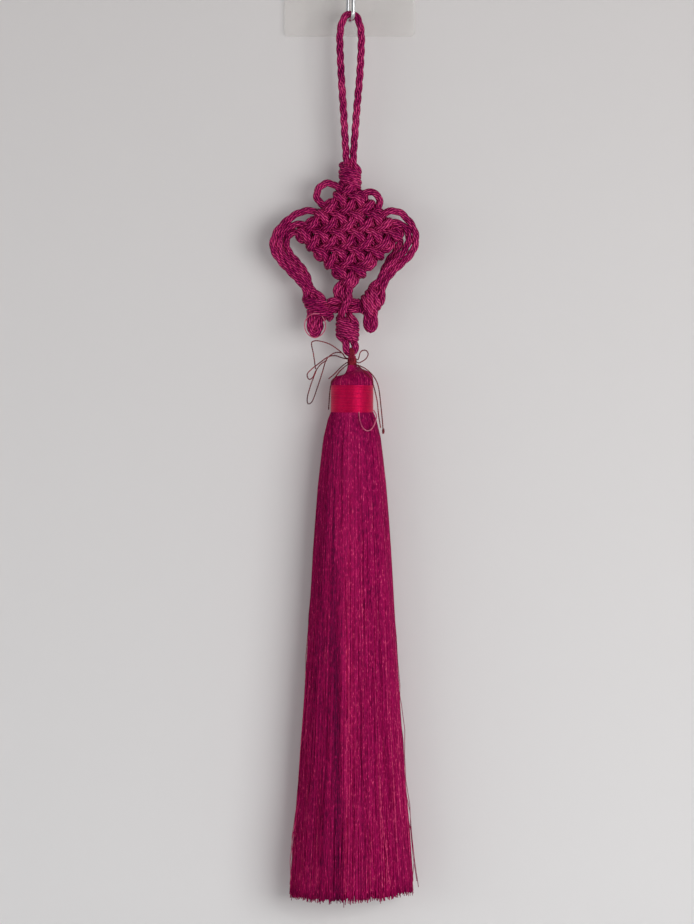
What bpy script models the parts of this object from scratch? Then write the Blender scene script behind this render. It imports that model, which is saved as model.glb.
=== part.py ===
"""Silk tassel on a cord that is tied into a lattice knot, hanging from a clear stick-on wall hook.

The origin is the centre of the hook pad's back face, which lies on the wall. X is to the right,
Y goes into the wall and Z is up. Routes are in millimetres, in the columns across, forward and
drop: to the right of the pad's centre, in front of the plane in which the cord hangs, and below
the pad's centre.
"""

import math

import bmesh
import bpy
from mathutils import Vector

MM = 0.001
ROUND_STEPS = 32

# The hook
HANG_DEPTH = 12.0
PAD_SIDE = 60.0
PAD_THICKNESS = 1.6
PAD_CORNER = 2.2
HOLDER_RADIUS = 8.0
HOLDER_REACH = 10.4
HOLDER_EDGE = 1.2
WIRE_DIAMETER = 1.8
HOOK_LEG_SPREAD = 7.8
HOOK_TURN = math.radians(19.0)
HOOK_BOTTOM_DROP = 24.5
HOOK_TIP_DROP = 9.0
HOOK_MIDDLE = 0.4
PIECE_GAP = 0.3

# The cord
CORD_DIAMETER = 3.35
STRAND_CREST = 0.53
STRAND_VALLEY = 0.42
CORD_LAY = 16.5
CORD_STEP = 1.9
LATTICE_FULLNESS = 1.16
FUSE_SIZE = 0.435
KNOT_FACES = 6400

# The lattice knot
LATTICE_DROP = 121.4
LATTICE_STEP = 4.12
LATTICE_REACH = 5
FRONT_LAYER = 0.94
PAIR_OFFSET = 0.56
BEND_OFFSET = 0.5
TURN_REACH = 0.85
TURN_WIDTH = 0.6

# The tassel
TASSEL_ACROSS = 1.1
NECK_TOP_DROP = 177.8
NECK_RADIUS = 1.5
BAND_TOP_DROP = 190.1
BAND_BOTTOM_DROP = 203.1
BAND_RADIUS = 9.8
WAIST_RADIUS = 9.0
LOCKS_ACROSS = 13
LOCKS_DEEP = 11
LOCK_TURN = math.radians(27.0)
ROOT_GAP = 0.36
RAGGED_END = 2.5
RAGGED_WAVES = (2.4, 1.1)

# The tie thread
THREAD_DIAMETER = 0.6
THREAD_STEP = 2.5
WRAP_TURNS = 6
WRAP_STEPS = 12
SMOOTH_ANGLE = math.radians(40.0)

# One knotted pair of cords: the turns that each makes, and its sizes in cord diameters
KNOT_TURNS = 1.5
KNOT_REACH = 1.12
KNOT_RISE = 1.42
KNOT_SLANT = 0.42
KNOT_STEPS = 12
KNOT_LEAD_ASIDE = 0.5
KNOT_LEAD_REACH = 2.3
KNOT_CORE_REACH = 1.5

# Where the knotted pairs sit: across, drop, roll in degrees, height as a share of the round knot's
UPPER_KNOT = (0.2, 95.0, 0.0, 0.8)
LOWER_KNOT = (-1.0, 165.0, 0.0, 0.8)
LEFT_KNOT = (-14.6, 155.0, 26.0, 0.92)
RIGHT_KNOT = (9.8, 152.4, -36.0, 0.92)

# Routes of the cord: across, forward, drop
HANGING_LOOP = [
    (-1.6, 0.0, 91.5),
    (-1.7, 0.0, 84.0),
    (-2.8, 0.0, 65.0),
    (-3.8, 0.0, 49.0),
    (-4.5, 0.0, 33.0),
    (-4.0, 0.0, 26.5),
    (-2.4, 0.0, 22.0),
    (0.5, 0.0, 20.4),
    (3.4, 0.0, 22.0),
    (4.9, 0.0, 26.5),
    (5.4, 0.0, 33.0),
    (4.6, 0.0, 49.0),
    (3.2, 0.0, 65.0),
    (1.8, 0.0, 84.0),
    (1.6, 0.0, 91.5),
]
LEFT_EAR = [
    (-3.0, 0.0, 103.5),
    (-4.6, 0.3, 100.6),
    (-7.4, 0.5, 98.6),
    (-10.4, 0.5, 97.9),
    (-13.4, 0.5, 99.5),
    (-15.1, 0.4, 102.8),
    (-14.3, 0.2, 105.9),
    (-11.4, 0.0, 108.6),
    (-9.4, 0.0, 110.6),
]
RIGHT_EAR = [
    (3.0, 0.0, 106.0),
    (4.8, 0.4, 103.5),
    (7.2, 0.6, 102.2),
    (9.8, 0.6, 102.0),
    (12.4, 0.5, 103.2),
    (13.9, 0.3, 105.7),
    (12.9, 0.0, 109.0),
    (11.0, 0.0, 112.0),
]
LEFT_OUTER = [
    (-13.0, 0.0, 112.4),
    (-16.8, 0.6, 110.6),
    (-21.8, 0.8, 111.0),
    (-26.5, 0.8, 113.4),
    (-30.3, 0.8, 116.6),
    (-33.5, 0.8, 120.5),
    (-35.1, 0.8, 125.0),
    (-34.7, 0.8, 128.9),
    (-31.9, 0.6, 133.3),
    (-28.3, 0.4, 137.2),
    (-24.7, 0.2, 141.0),
    (-21.4, 0.0, 144.6),
    (-19.6, 0.0, 148.4),
]
LEFT_INNER = [
    (-17.0, 0.0, 118.4),
    (-21.0, 0.4, 116.9),
    (-25.1, 0.6, 116.9),
    (-28.8, 0.7, 119.0),
    (-31.2, 0.7, 122.3),
    (-31.7, 0.6, 126.2),
    (-30.7, 0.5, 129.6),
    (-27.6, 0.4, 133.3),
    (-24.3, 0.2, 137.2),
    (-21.2, 0.1, 141.0),
    (-18.7, 0.0, 145.2),
]
LEFT_BACK = [
    (-19.4, 0.0, 121.6),
    (-23.4, 0.2, 120.6),
    (-26.8, 0.0, 120.9),
    (-28.8, -0.8, 123.3),
    (-29.0, -1.6, 126.6),
    (-27.2, -2.2, 130.4),
    (-23.6, -2.6, 134.4),
    (-20.4, -2.6, 138.6),
    (-18.6, -1.8, 143.6),
    (-17.4, -0.5, 152.4),
]
RIGHT_OUTER = [
    (12.0, 0.0, 114.6),
    (14.6, 0.6, 112.6),
    (17.1, 0.8, 111.2),
    (19.9, 0.8, 110.6),
    (23.2, 0.8, 111.5),
    (26.6, 0.8, 114.6),
    (29.1, 0.8, 118.3),
    (30.3, 0.8, 122.8),
    (29.5, 0.7, 127.8),
    (27.0, 0.6, 131.6),
    (23.2, 0.4, 135.2),
    (19.8, 0.3, 138.4),
    (17.2, 0.1, 141.6),
    (15.2, 0.0, 145.6),
]
RIGHT_INNER = [
    (14.2, 0.0, 118.0),
    (17.6, 0.4, 116.6),
    (20.9, 0.6, 116.0),
    (24.4, 0.6, 117.2),
    (26.6, 0.6, 120.0),
    (27.1, 0.6, 123.6),
    (25.6, 0.6, 127.9),
    (22.4, 0.5, 131.6),
    (19.2, 0.3, 134.8),
    (16.2, 0.2, 138.0),
    (13.4, 0.0, 142.6),
]
RIGHT_BACK = [
    (18.4, 0.0, 120.6),
    (21.4, 0.0, 121.4),
    (23.0, -1.0, 124.8),
    (21.2, -2.2, 129.0),
    (18.4, -2.8, 132.6),
    (15.8, -2.6, 137.4),
    (14.4, -1.8, 142.4),
    (12.8, -0.8, 148.0),
]
LEFT_LINK_UPPER = [
    (-9.8, 0.4, 152.6),
    (-7.6, 0.6, 151.9),
    (-4.6, 0.2, 152.0),
    (-1.8, 0.0, 152.1),
    (1.4, 0.2, 152.4),
    (4.6, 0.2, 152.2),
]
LEFT_LINK_LOWER = [
    (-10.2, 0.4, 156.6),
    (-7.8, 0.6, 155.8),
    (-4.8, 0.2, 155.5),
    (-1.8, 0.0, 155.6),
    (1.2, 0.2, 155.8),
    (4.6, 0.2, 155.4),
]
LINK_BACK = [
    (-10.4, -1.4, 154.2),
    (-6.4, -1.6, 153.6),
    (-1.8, -1.8, 153.6),
    (2.6, -1.6, 153.6),
    (6.0, -1.4, 153.8),
]
LEFT_TAIL = [
    (-17.9, 0.6, 156.0),
    (-17.9, 2.2, 159.6),
    (-17.9, 3.6, 163.0),
    (-17.3, 4.2, 165.9),
    (-15.8, 4.4, 167.2),
    (-14.3, 4.2, 165.9),
    (-13.7, 3.6, 163.0),
    (-13.7, 2.2, 159.6),
    (-13.8, 0.6, 156.0),
]
LEFT_TAIL_CORE = [
    (-15.8, -0.4, 156.0),
    (-15.8, 2.6, 160.2),
    (-15.8, 4.6, 164.4),
]
RIGHT_TAIL = [
    (7.9, 0.4, 155.4),
    (7.9, 0.8, 159.4),
    (8.1, 0.9, 163.2),
    (9.6, 0.9, 165.3),
    (11.1, 0.9, 163.2),
    (11.3, 0.8, 159.4),
    (11.2, 0.4, 155.4),
]
STEM_FRONT = [
    (1.6, 0.6, 141.0),
    (0.0, 1.0, 144.6),
    (-0.2, 1.6, 148.0),
    (-0.4, 2.6, 151.0),
    (-1.8, 3.2, 153.8),
    (-3.4, 2.6, 156.6),
    (-3.6, 1.0, 158.6),
]
STEM_BACK = [
    (-1.6, 0.0, 141.4),
    (-4.6, 0.4, 144.6),
    (-6.1, 0.2, 147.8),
    (-4.8, -1.6, 151.2),
    (-1.9, -3.0, 153.8),
    (0.0, -2.4, 156.4),
    (0.2, 0.0, 158.6),
]
STEM_MIDDLE = [
    (0.2, -0.6, 141.0),
    (-2.2, -0.6, 145.2),
    (-3.0, 0.6, 148.8),
    (-2.2, 0.4, 152.0),
]
END_LOOP = [
    (1.9, 0.0, 169.8),
    (2.5, 0.1, 172.4),
    (2.0, 0.1, 174.8),
    (0.4, 0.1, 175.9),
    (-1.1, 0.1, 174.8),
    (-1.7, 0.1, 172.4),
    (-2.3, 0.0, 169.8),
]

# The tassel head's outline: radius, drop, rise towards the right as a share of the way across
HEAD_PROFILE = [
    (NECK_RADIUS, NECK_TOP_DROP, 0.0),
    (NECK_RADIUS, 182.6, 0.3),
    (2.4, 184.0, 0.5),
    (3.7, 184.6, 0.38),
    (5.4, 185.0, 0.24),
    (7.2, 185.6, 0.16),
    (9.0, 187.0, 0.12),
    (9.6, 188.6, 0.04),
    (9.5, 189.8, 0.0),
    (WAIST_RADIUS, 190.2, 0.0),
    (WAIST_RADIUS, 203.0, 0.0),
]

# The skirt's sections: below the band, half width, half depth, middle's distance from the wall,
# and a lock's size as a share of its size at the root for the same skirt
SKIRT_SECTIONS = [
    (6.0, 12.3, 10.8, 12.0, 1.10),
    (35.3, 15.6, 11.6, 12.6, 1.16),
    (108.0, 20.4, 12.8, 13.8, 1.20),
    (221.0, 28.4, 14.0, 15.5, 1.22),
]

# Routes of the tie thread: across, forward, drop
TIE_ROUTES = {
    "tie_loop_right": [
        (3.9, 1.3, 178.6),
        (5.0, 1.6, 175.2),
        (7.2, 1.8, 174.4),
        (8.5, 1.8, 176.0),
        (7.6, 1.8, 178.2),
        (5.8, 1.6, 179.5),
        (3.9, 1.3, 180.2),
    ],
    "tie_loop_left_short": [
        (-1.6, 1.4, 178.4),
        (-3.8, 2.4, 177.8),
        (-6.8, 3.0, 176.9),
        (-10.0, 3.2, 177.6),
        (-13.4, 3.4, 180.0),
        (-17.0, 3.4, 182.8),
        (-19.4, 3.4, 185.4),
        (-18.6, 3.6, 187.8),
        (-16.8, 3.8, 186.8),
        (-15.4, 4.2, 183.8),
        (-13.2, 4.6, 180.9),
        (-10.4, 4.8, 179.0),
    ],
    "tie_loop_left_long": [
        (-2.0, 0.0, 177.8),
        (-3.2, 0.2, 175.9),
        (-6.0, 0.6, 175.4),
        (-8.6, 0.8, 176.6),
        (-10.8, 1.0, 179.0),
        (-12.4, 1.2, 184.2),
        (-14.6, 1.4, 191.0),
        (-17.0, 1.6, 197.6),
        (-19.0, 1.6, 199.0),
        (-19.4, 1.6, 196.4),
        (-18.2, 1.6, 191.6),
        (-16.4, 1.6, 186.6),
        (-14.8, 1.6, 182.6),
    ],
    "tie_thread_upper": [
        (-1.6, -1.4, 178.0),
        (-3.4, -1.4, 175.8),
        (-6.0, -1.2, 173.6),
        (-9.6, -1.0, 171.4),
        (-14.2, -0.6, 170.1),
        (-17.0, -0.6, 170.4),
        (-17.4, -0.6, 172.2),
        (-16.6, -0.4, 176.0),
        (-15.6, 0.0, 183.0),
    ],
    "tie_end_left_short": [
        (-1.4, 2.0, 180.2),
        (-4.4, 4.0, 182.6),
        (-7.0, 6.0, 185.4),
        (-9.6, 7.0, 187.6),
    ],
    "tie_end_left_long": [
        (-0.8, 2.4, 181.0),
        (-4.0, 5.6, 183.6),
        (-6.8, 7.4, 187.2),
        (-8.6, 7.6, 190.6),
        (-9.2, 7.6, 195.6),
        (-9.6, 7.6, 201.6),
    ],
    "tie_end_right_long": [
        (3.6, 1.8, 181.2),
        (7.4, 4.2, 183.0),
        (10.6, 5.2, 186.0),
        (12.6, 5.2, 189.4),
        (13.6, 5.2, 193.6),
        (14.2, 5.2, 199.0),
        (15.0, 5.2, 207.0),
        (15.4, 5.2, 212.6),
    ],
    "tie_end_right_short": [
        (2.7, 2.7, 180.8),
        (5.9, 5.9, 183.4),
        (9.6, 7.6, 187.4),
        (11.2, 7.6, 191.8),
        (12.6, 7.4, 198.0),
        (13.2, 7.4, 204.0),
        (14.2, 7.4, 210.0),
    ],
    "tie_front_loop": [
        (4.4, 10.0, 204.4),
        (4.8, 11.4, 207.0),
        (6.2, 11.6, 210.2),
        (8.4, 11.2, 211.4),
        (10.6, 10.0, 209.8),
        (11.8, 8.8, 207.0),
        (12.2, 8.4, 204.4),
    ],
    "tail_ring": [
        (-12.6, 6.3, 158.9),
        (-11.2, 5.4, 161.6),
        (-11.2, 5.2, 164.8),
        (-12.9, 5.5, 167.4),
        (-15.8, 5.7, 168.8),
        (-18.8, 5.5, 167.4),
        (-20.4, 5.2, 164.6),
        (-20.3, 5.2, 161.2),
        (-18.6, 6.0, 158.8),
        (-16.2, 6.6, 157.8),
        (-13.8, 6.6, 157.9),
    ],
}

COLLECTION = "silk_tassel_with_wall_hook"
COLOURS = {
    "clear_plastic": ((0.78, 0.79, 0.80, 1.0), 0.15, 0.0),
    "steel": ((0.55, 0.55, 0.56, 1.0), 0.25, 1.0),
    "crimson_cord": ((0.22, 0.008, 0.045, 1.0), 0.45, 0.0),
    "crimson_silk": ((0.25, 0.008, 0.05, 1.0), 0.4, 0.0),
    "red_satin": ((0.55, 0.01, 0.055, 1.0), 0.3, 0.0),
    "maroon_thread": ((0.12, 0.02, 0.035, 1.0), 0.5, 0.0),
}


def clear_scene():
    """Removes every object that is in the scene."""
    for thing in list(bpy.data.objects):
        bpy.data.objects.remove(thing, do_unlink=True)


def make_material(name):
    """A plain Principled material from the table of colours."""
    colour, roughness, metallic = COLOURS[name]
    made = bpy.data.materials.new(name)
    made.use_nodes = True
    surface = made.node_tree.nodes["Principled BSDF"]
    surface.inputs["Base Color"].default_value = colour
    surface.inputs["Roughness"].default_value = roughness
    surface.inputs["Metallic"].default_value = metallic
    return made


def world(point):
    """A point given as across, forward and drop in millimetres, in metres."""
    across, forward, drop = point
    return Vector((across, -HANG_DEPTH - forward, -drop)) * MM


def add_mesh_object(name, mesh, material, collection):
    """Puts a mesh in the collection as an object with one material."""
    made = bpy.data.objects.new(name, mesh)
    mesh.materials.clear()
    mesh.materials.append(material)
    collection.objects.link(made)
    return made


def mesh_of(thing):
    """The evaluated mesh of an object, its loose caps welded and its faces pointing out."""
    graph = bpy.context.evaluated_depsgraph_get()
    mesh = bpy.data.meshes.new_from_object(thing.evaluated_get(graph))
    shape = bmesh.new()
    shape.from_mesh(mesh)
    bmesh.ops.remove_doubles(shape, verts=shape.verts, dist=0.001 * MM)
    bmesh.ops.recalc_face_normals(shape, faces=shape.faces)
    shape.to_mesh(mesh)
    shape.free()
    return mesh


def smooth_route(points, step):
    """Points about one step apart on a smooth curve through the route's own points."""
    ends = [points[0] * 2 - points[1]] + points + [points[-1] * 2 - points[-2]]
    fine = []
    parts = 12
    for index in range(1, len(ends) - 2):
        before, start, end, after = ends[index - 1:index + 3]
        for part in range(parts):
            t = part / parts
            fine.append(0.5 * (2 * start + (end - before) * t
                               + (2 * before - 5 * start + 4 * end - after) * t ** 2
                               + (3 * start - before - 3 * end + after) * t ** 3))
    fine.append(points[-1])
    lengths = [0.0]
    for start, end in zip(fine, fine[1:]):
        lengths.append(lengths[-1] + (end - start).length)
    count = max(2, round(lengths[-1] / step))
    even, index = [], 0
    for number in range(count + 1):
        target = lengths[-1] * number / count
        while index < len(fine) - 2 and lengths[index + 1] < target:
            index += 1
        share = (target - lengths[index]) / (lengths[index + 1] - lengths[index])
        even.append(fine[index].lerp(fine[index + 1], share))
    return even


def add_spline(curve, points, cyclic=False, twist_per_metre=0.0, fullness=1.0):
    """Adds one polyline to a curve, its section turned along its length."""
    spline = curve.splines.new("POLY")
    spline.points.add(len(points) - 1)
    spline.use_cyclic_u = cyclic
    run = 0.0
    for index, point in enumerate(points):
        if index:
            run += (point - points[index - 1]).length
        spline.points[index].co = (*point, 1.0)
        spline.points[index].tilt = run * twist_per_metre
        spline.points[index].radius = fullness


def tube(name, points, diameter, material, collection):
    """A round wire or thread along the points, with filled caps."""
    curve = bpy.data.curves.new(name, "CURVE")
    curve.dimensions = "3D"
    curve.bevel_depth = diameter / 2 * MM
    curve.bevel_resolution = 2
    curve.use_fill_caps = True
    add_spline(curve, points)
    curve.materials.append(material)
    made = bpy.data.objects.new(name, curve)
    collection.objects.link(made)
    return made


def make_pad(material, collection):
    """The flat pad with rounded corners that sticks to the wall."""
    half = PAD_SIDE / 2 - PAD_CORNER
    corner_steps = 6
    curve = bpy.data.curves.new("hook_pad", "CURVE")
    curve.dimensions = "2D"
    curve.fill_mode = "BOTH"
    curve.extrude = PAD_THICKNESS / 2 * MM
    outline = []
    for corner, (side, level) in enumerate([(1, 1), (-1, 1), (-1, -1), (1, -1)]):
        for step in range(corner_steps + 1):
            angle = math.radians(90 * (corner + step / corner_steps))
            outline.append(Vector((side * half + PAD_CORNER * math.cos(angle),
                                   level * half + PAD_CORNER * math.sin(angle), 0.0)) * MM)
    add_spline(curve, outline, cyclic=True)
    curve.materials.append(material)
    made = bpy.data.objects.new("hook_pad", curve)
    made.rotation_euler = (math.radians(90), 0.0, 0.0)
    made.location = (0.0, -PAD_THICKNESS / 2 * MM, 0.0)
    collection.objects.link(made)
    return made


def make_holder(material, collection):
    """The round boss on the pad that carries the wire."""
    profile = [
        (0.0, PAD_THICKNESS + PIECE_GAP),
        (HOLDER_RADIUS, PAD_THICKNESS + PIECE_GAP),
        (HOLDER_RADIUS, HOLDER_REACH - HOLDER_EDGE),
        (HOLDER_RADIUS - HOLDER_EDGE, HOLDER_REACH),
        (0.0, HOLDER_REACH),
    ]
    return turned("hook_holder", profile, ROUND_STEPS, material, collection,
                  rotation=(math.radians(90), 0.0, 0.0))


def turned(name, profile, steps, material, collection, rotation=(0.0, 0.0, 0.0)):
    """A body turned about its own Z from a profile of radius and height in millimetres."""
    mesh = bpy.data.meshes.new(name)
    points = [(radius * MM, 0.0, height * MM) for radius, height in profile]
    edges = [(index, index + 1) for index in range(len(points) - 1)]
    mesh.from_pydata(points, edges, [])
    made = add_mesh_object(name, mesh, material, collection)
    screw = made.modifiers.new("turn", "SCREW")
    screw.axis = "Z"
    screw.steps = steps
    screw.render_steps = steps
    screw.use_merge_vertices = True
    screw.merge_threshold = 0.0001
    screw.use_normal_calculate = True
    made.rotation_euler = rotation
    return made


def hook_wire_route():
    """The wire's middle line: down from the holder, round the bend and up to its free tip."""
    spread = HOOK_LEG_SPREAD / 2
    bend_drop = HOOK_BOTTOM_DROP - WIRE_DIAMETER / 2 - spread
    steps = 12
    side = [(-spread, HOLDER_RADIUS + PIECE_GAP)]
    for step in range(steps + 1):
        angle = math.pi * step / steps
        side.append((-spread * math.cos(angle), bend_drop + spread * math.sin(angle)))
    side.append((spread, HOOK_TIP_DROP))
    points = []
    for forward, drop in side:
        across = HOOK_MIDDLE + forward * math.sin(HOOK_TURN)
        points.append(world((across, forward * math.cos(HOOK_TURN), drop)))
    return points


def in_knot(place, side, forward, down):
    """A point in cord diameters from a knot's middle, as across, forward and drop."""
    across, drop, roll, height = place
    turn = math.radians(roll)
    side, forward, down = side * CORD_DIAMETER, forward * CORD_DIAMETER, down * CORD_DIAMETER * height
    return (across + side * math.cos(turn) + down * math.sin(turn), forward,
            drop + down * math.cos(turn) - side * math.sin(turn))


def knotted_pair(place):
    """The two strands of a wrapped knot from the way in to the way out, half a turn apart."""
    strands = []
    for way_in in (-1, 1):
        strand = [in_knot(place, way_in * KNOT_LEAD_ASIDE, 0.0, -KNOT_LEAD_REACH)]
        for step in range(KNOT_STEPS + 1):
            part = step / KNOT_STEPS
            angle = math.pi * (way_in - 1) / 2 - math.tau * KNOT_TURNS * part
            side = KNOT_REACH * math.cos(angle)
            strand.append(in_knot(place, side, KNOT_REACH * math.sin(angle),
                                  (2 * part - 1) * KNOT_RISE + side * KNOT_SLANT))
        strand.append(in_knot(place, -way_in * KNOT_LEAD_ASIDE, 0.0, KNOT_LEAD_REACH))
        strands.append(strand)
    return strands


def knot_core(place):
    """The straight run of cord that fills a wrapped knot."""
    return [in_knot(place, 0.0, 0.0, -KNOT_CORE_REACH), in_knot(place, 0.0, 0.0, KNOT_CORE_REACH)]


def lattice_loop(line, rising):
    """One pair of lines of the lattice, joined at both ends: a closed run of points.

    A crossing lies at the whole steps i and j whose sum is odd. A rising pair is outside at the
    crossings with an even i, and a falling pair at those with an odd i. Outside, one line of the
    pair is in front and the other behind. Elsewhere both lie side by side in the middle.
    """
    front = []
    for along in range(-LATTICE_REACH, LATTICE_REACH + 1, 2):
        outside = ((along + line) // 2 % 2 == 0) == rising
        for offset in (-BEND_OFFSET, BEND_OFFSET):
            place = along + offset
            ramp = 1.0 - BEND_OFFSET / 2 if abs(place) < LATTICE_REACH else 1.0
            layer = ramp if outside else 1.0 - ramp
            front.append((place, layer, 1.0 - layer))
    start, end = [(math.copysign(LATTICE_REACH + TURN_REACH, place),
                   layer * TURN_WIDTH, sideways * TURN_WIDTH)
                  for place, layer, sideways in (front[0], front[-1])]
    line_of_pair = [start] + front + [end]
    other_of_pair = [(place, -layer, -sideways) for place, layer, sideways in line_of_pair]
    points = []
    for place, layer, sideways in line_of_pair + other_of_pair[::-1]:
        i, j = (place + line) / 2, (place - line) / 2
        if not rising:
            j = -j
        shift = sideways * PAIR_OFFSET * CORD_DIAMETER / math.sqrt(2)
        across = i * LATTICE_STEP - shift
        rise = j * LATTICE_STEP + (shift if rising else -shift)
        points.append((across, layer * FRONT_LAYER * CORD_DIAMETER, LATTICE_DROP - rise))
    return points


def cord_routes():
    """Every open stretch of the cord below its hanging loop, from the top down."""
    upper_first, upper_second = knotted_pair(UPPER_KNOT)
    left_first, left_second = knotted_pair(LEFT_KNOT)
    right_first, right_second = knotted_pair(RIGHT_KNOT)
    lower_first, lower_second = knotted_pair(LOWER_KNOT)
    return [
        upper_first,
        upper_second,
        LEFT_EAR,
        RIGHT_EAR,
        LEFT_OUTER + left_first[1:],
        LEFT_INNER + left_second[1:],
        LEFT_BACK,
        RIGHT_OUTER + right_second[1:],
        RIGHT_INNER + right_first[1:],
        RIGHT_BACK,
        LEFT_LINK_UPPER,
        LEFT_LINK_LOWER,
        LINK_BACK,
        LEFT_TAIL,
        LEFT_TAIL_CORE,
        RIGHT_TAIL,
        STEM_FRONT + lower_first[1:-1] + END_LOOP + lower_second[-2:0:-1] + STEM_BACK[::-1],
        STEM_MIDDLE,
    ] + [knot_core(place) for place in (UPPER_KNOT, LEFT_KNOT, RIGHT_KNOT, LOWER_KNOT)]


def cord_route(route):
    """A route's points in metres, an even step apart."""
    return smooth_route([world(point) for point in route], CORD_STEP * MM)


def cord_section():
    """The outline of the three-strand cord: a crest and a valley for each strand."""
    curve = bpy.data.curves.new("cord_section", "CURVE")
    curve.dimensions = "2D"
    corners = []
    for corner in range(6):
        reach = (STRAND_CREST, STRAND_VALLEY)[corner % 2] * CORD_DIAMETER * MM
        angle = math.radians(60 * corner)
        corners.append(Vector((reach * math.cos(angle), reach * math.sin(angle), 0.0)))
    add_spline(curve, corners, cyclic=True)
    return bpy.data.objects.new("cord_section", curve)


def cord_mesh(loops, routes):
    """One mesh of the closed loops and the open routes, each a twisted cord."""
    section = cord_section()
    curve = bpy.data.curves.new("cord", "CURVE")
    curve.dimensions = "3D"
    curve.bevel_mode = "OBJECT"
    curve.bevel_object = section
    curve.use_fill_caps = True
    twist = math.tau / (CORD_LAY * MM)
    for points in loops:
        add_spline(curve, points, True, twist, LATTICE_FULLNESS)
    for points in routes:
        add_spline(curve, points, False, twist)
    guide = bpy.data.objects.new("cord", curve)
    bpy.context.scene.collection.objects.link(guide)
    mesh = mesh_of(guide)
    bpy.data.objects.remove(guide)
    bpy.data.objects.remove(section)
    return mesh


def keep_outer_body(mesh):
    """Leaves only the largest closed body of a mesh."""
    shape = bmesh.new()
    shape.from_mesh(mesh)
    bodies, left = [], set(shape.verts)
    while left:
        body, queue = set(), [left.pop()]
        while queue:
            vertex = queue.pop()
            body.add(vertex)
            for edge in vertex.link_edges:
                other = edge.other_vert(vertex)
                if other in left:
                    left.discard(other)
                    queue.append(other)
        bodies.append(body)
    outer = max(bodies, key=len)
    spare = [vertex for body in bodies if body is not outer for vertex in body]
    bmesh.ops.delete(shape, geom=spare, context="VERTS")
    shape.to_mesh(mesh)
    shape.free()


def make_knotted_cord(material, collection):
    """The whole cord as one solid, its strands fused where they press on each other."""
    lines = range(-LATTICE_REACH, LATTICE_REACH + 1, 2)
    loops = [lattice_loop(line, rising) for rising in (True, False) for line in lines]
    loops = [[world(point) for point in loop] for loop in loops]
    made = add_mesh_object("knotted_cord", cord_mesh(loops, [cord_route(r) for r in cord_routes()]),
                           material, collection)
    fuse = made.modifiers.new("fuse", "REMESH")
    fuse.mode = "VOXEL"
    fuse.voxel_size = FUSE_SIZE * MM
    bpy.context.view_layer.update()
    made.data = mesh_of(made)
    made.modifiers.clear()
    keep_outer_body(made.data)
    coarsen = made.modifiers.new("coarsen", "DECIMATE")
    coarsen.ratio = KNOT_FACES / sum(len(face.vertices) - 2 for face in made.data.polygons)
    loop = add_mesh_object("hanging_loop", cord_mesh([], [cord_route(HANGING_LOOP)]),
                           material, collection)
    join = made.modifiers.new("join", "BOOLEAN")
    join.operation = "UNION"
    join.object = loop
    bpy.context.view_layer.update()
    made.data = mesh_of(made)
    made.modifiers.clear()
    bpy.data.objects.remove(loop)
    keep_outer_body(made.data)
    return made


def make_band(material, collection):
    """The satin thread wound round the tassel's head, as a ring."""
    inner = WAIST_RADIUS + PIECE_GAP
    edge = 0.15
    profile = [
        (inner, -BAND_TOP_DROP - PIECE_GAP),
        (BAND_RADIUS - edge, -BAND_TOP_DROP - PIECE_GAP),
        (BAND_RADIUS, -BAND_TOP_DROP - PIECE_GAP - edge),
        (BAND_RADIUS, -BAND_BOTTOM_DROP + edge),
        (BAND_RADIUS - edge, -BAND_BOTTOM_DROP),
        (inner, -BAND_BOTTOM_DROP),
        (inner, -BAND_TOP_DROP - PIECE_GAP),
    ]
    made = turned("binding_band", profile, ROUND_STEPS, material, collection)
    made.location = world((TASSEL_ACROSS, 0.0, 0.0))
    return made


def make_wrap(material, collection):
    """The turns of tie thread round the tassel's neck, as a ribbed ring."""
    inner = NECK_RADIUS + PIECE_GAP
    outer = inner + THREAD_DIAMETER / 2
    profile = [(inner, -NECK_TOP_DROP)]
    for turn in range(WRAP_TURNS):
        start = NECK_TOP_DROP + turn * THREAD_DIAMETER
        profile.append((outer, -start))
        profile.append((outer + THREAD_DIAMETER / 2, -start - THREAD_DIAMETER / 2))
    end = NECK_TOP_DROP + WRAP_TURNS * THREAD_DIAMETER
    profile += [(outer, -end), (inner, -end), (inner, -NECK_TOP_DROP)]
    made = turned("tie_wrap", profile, WRAP_STEPS, material, collection)
    made.location = world((TASSEL_ACROSS, 0.0, 0.0))
    return made


def round_from_square(u, v):
    """Maps a point of the square from -1 to 1 to the unit disc, turned so that no gap faces front."""
    x, y = u * math.sqrt(1 - v * v / 2), v * math.sqrt(1 - u * u / 2)
    return (x * math.cos(LOCK_TURN) - y * math.sin(LOCK_TURN),
            x * math.sin(LOCK_TURN) + y * math.cos(LOCK_TURN))


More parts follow.
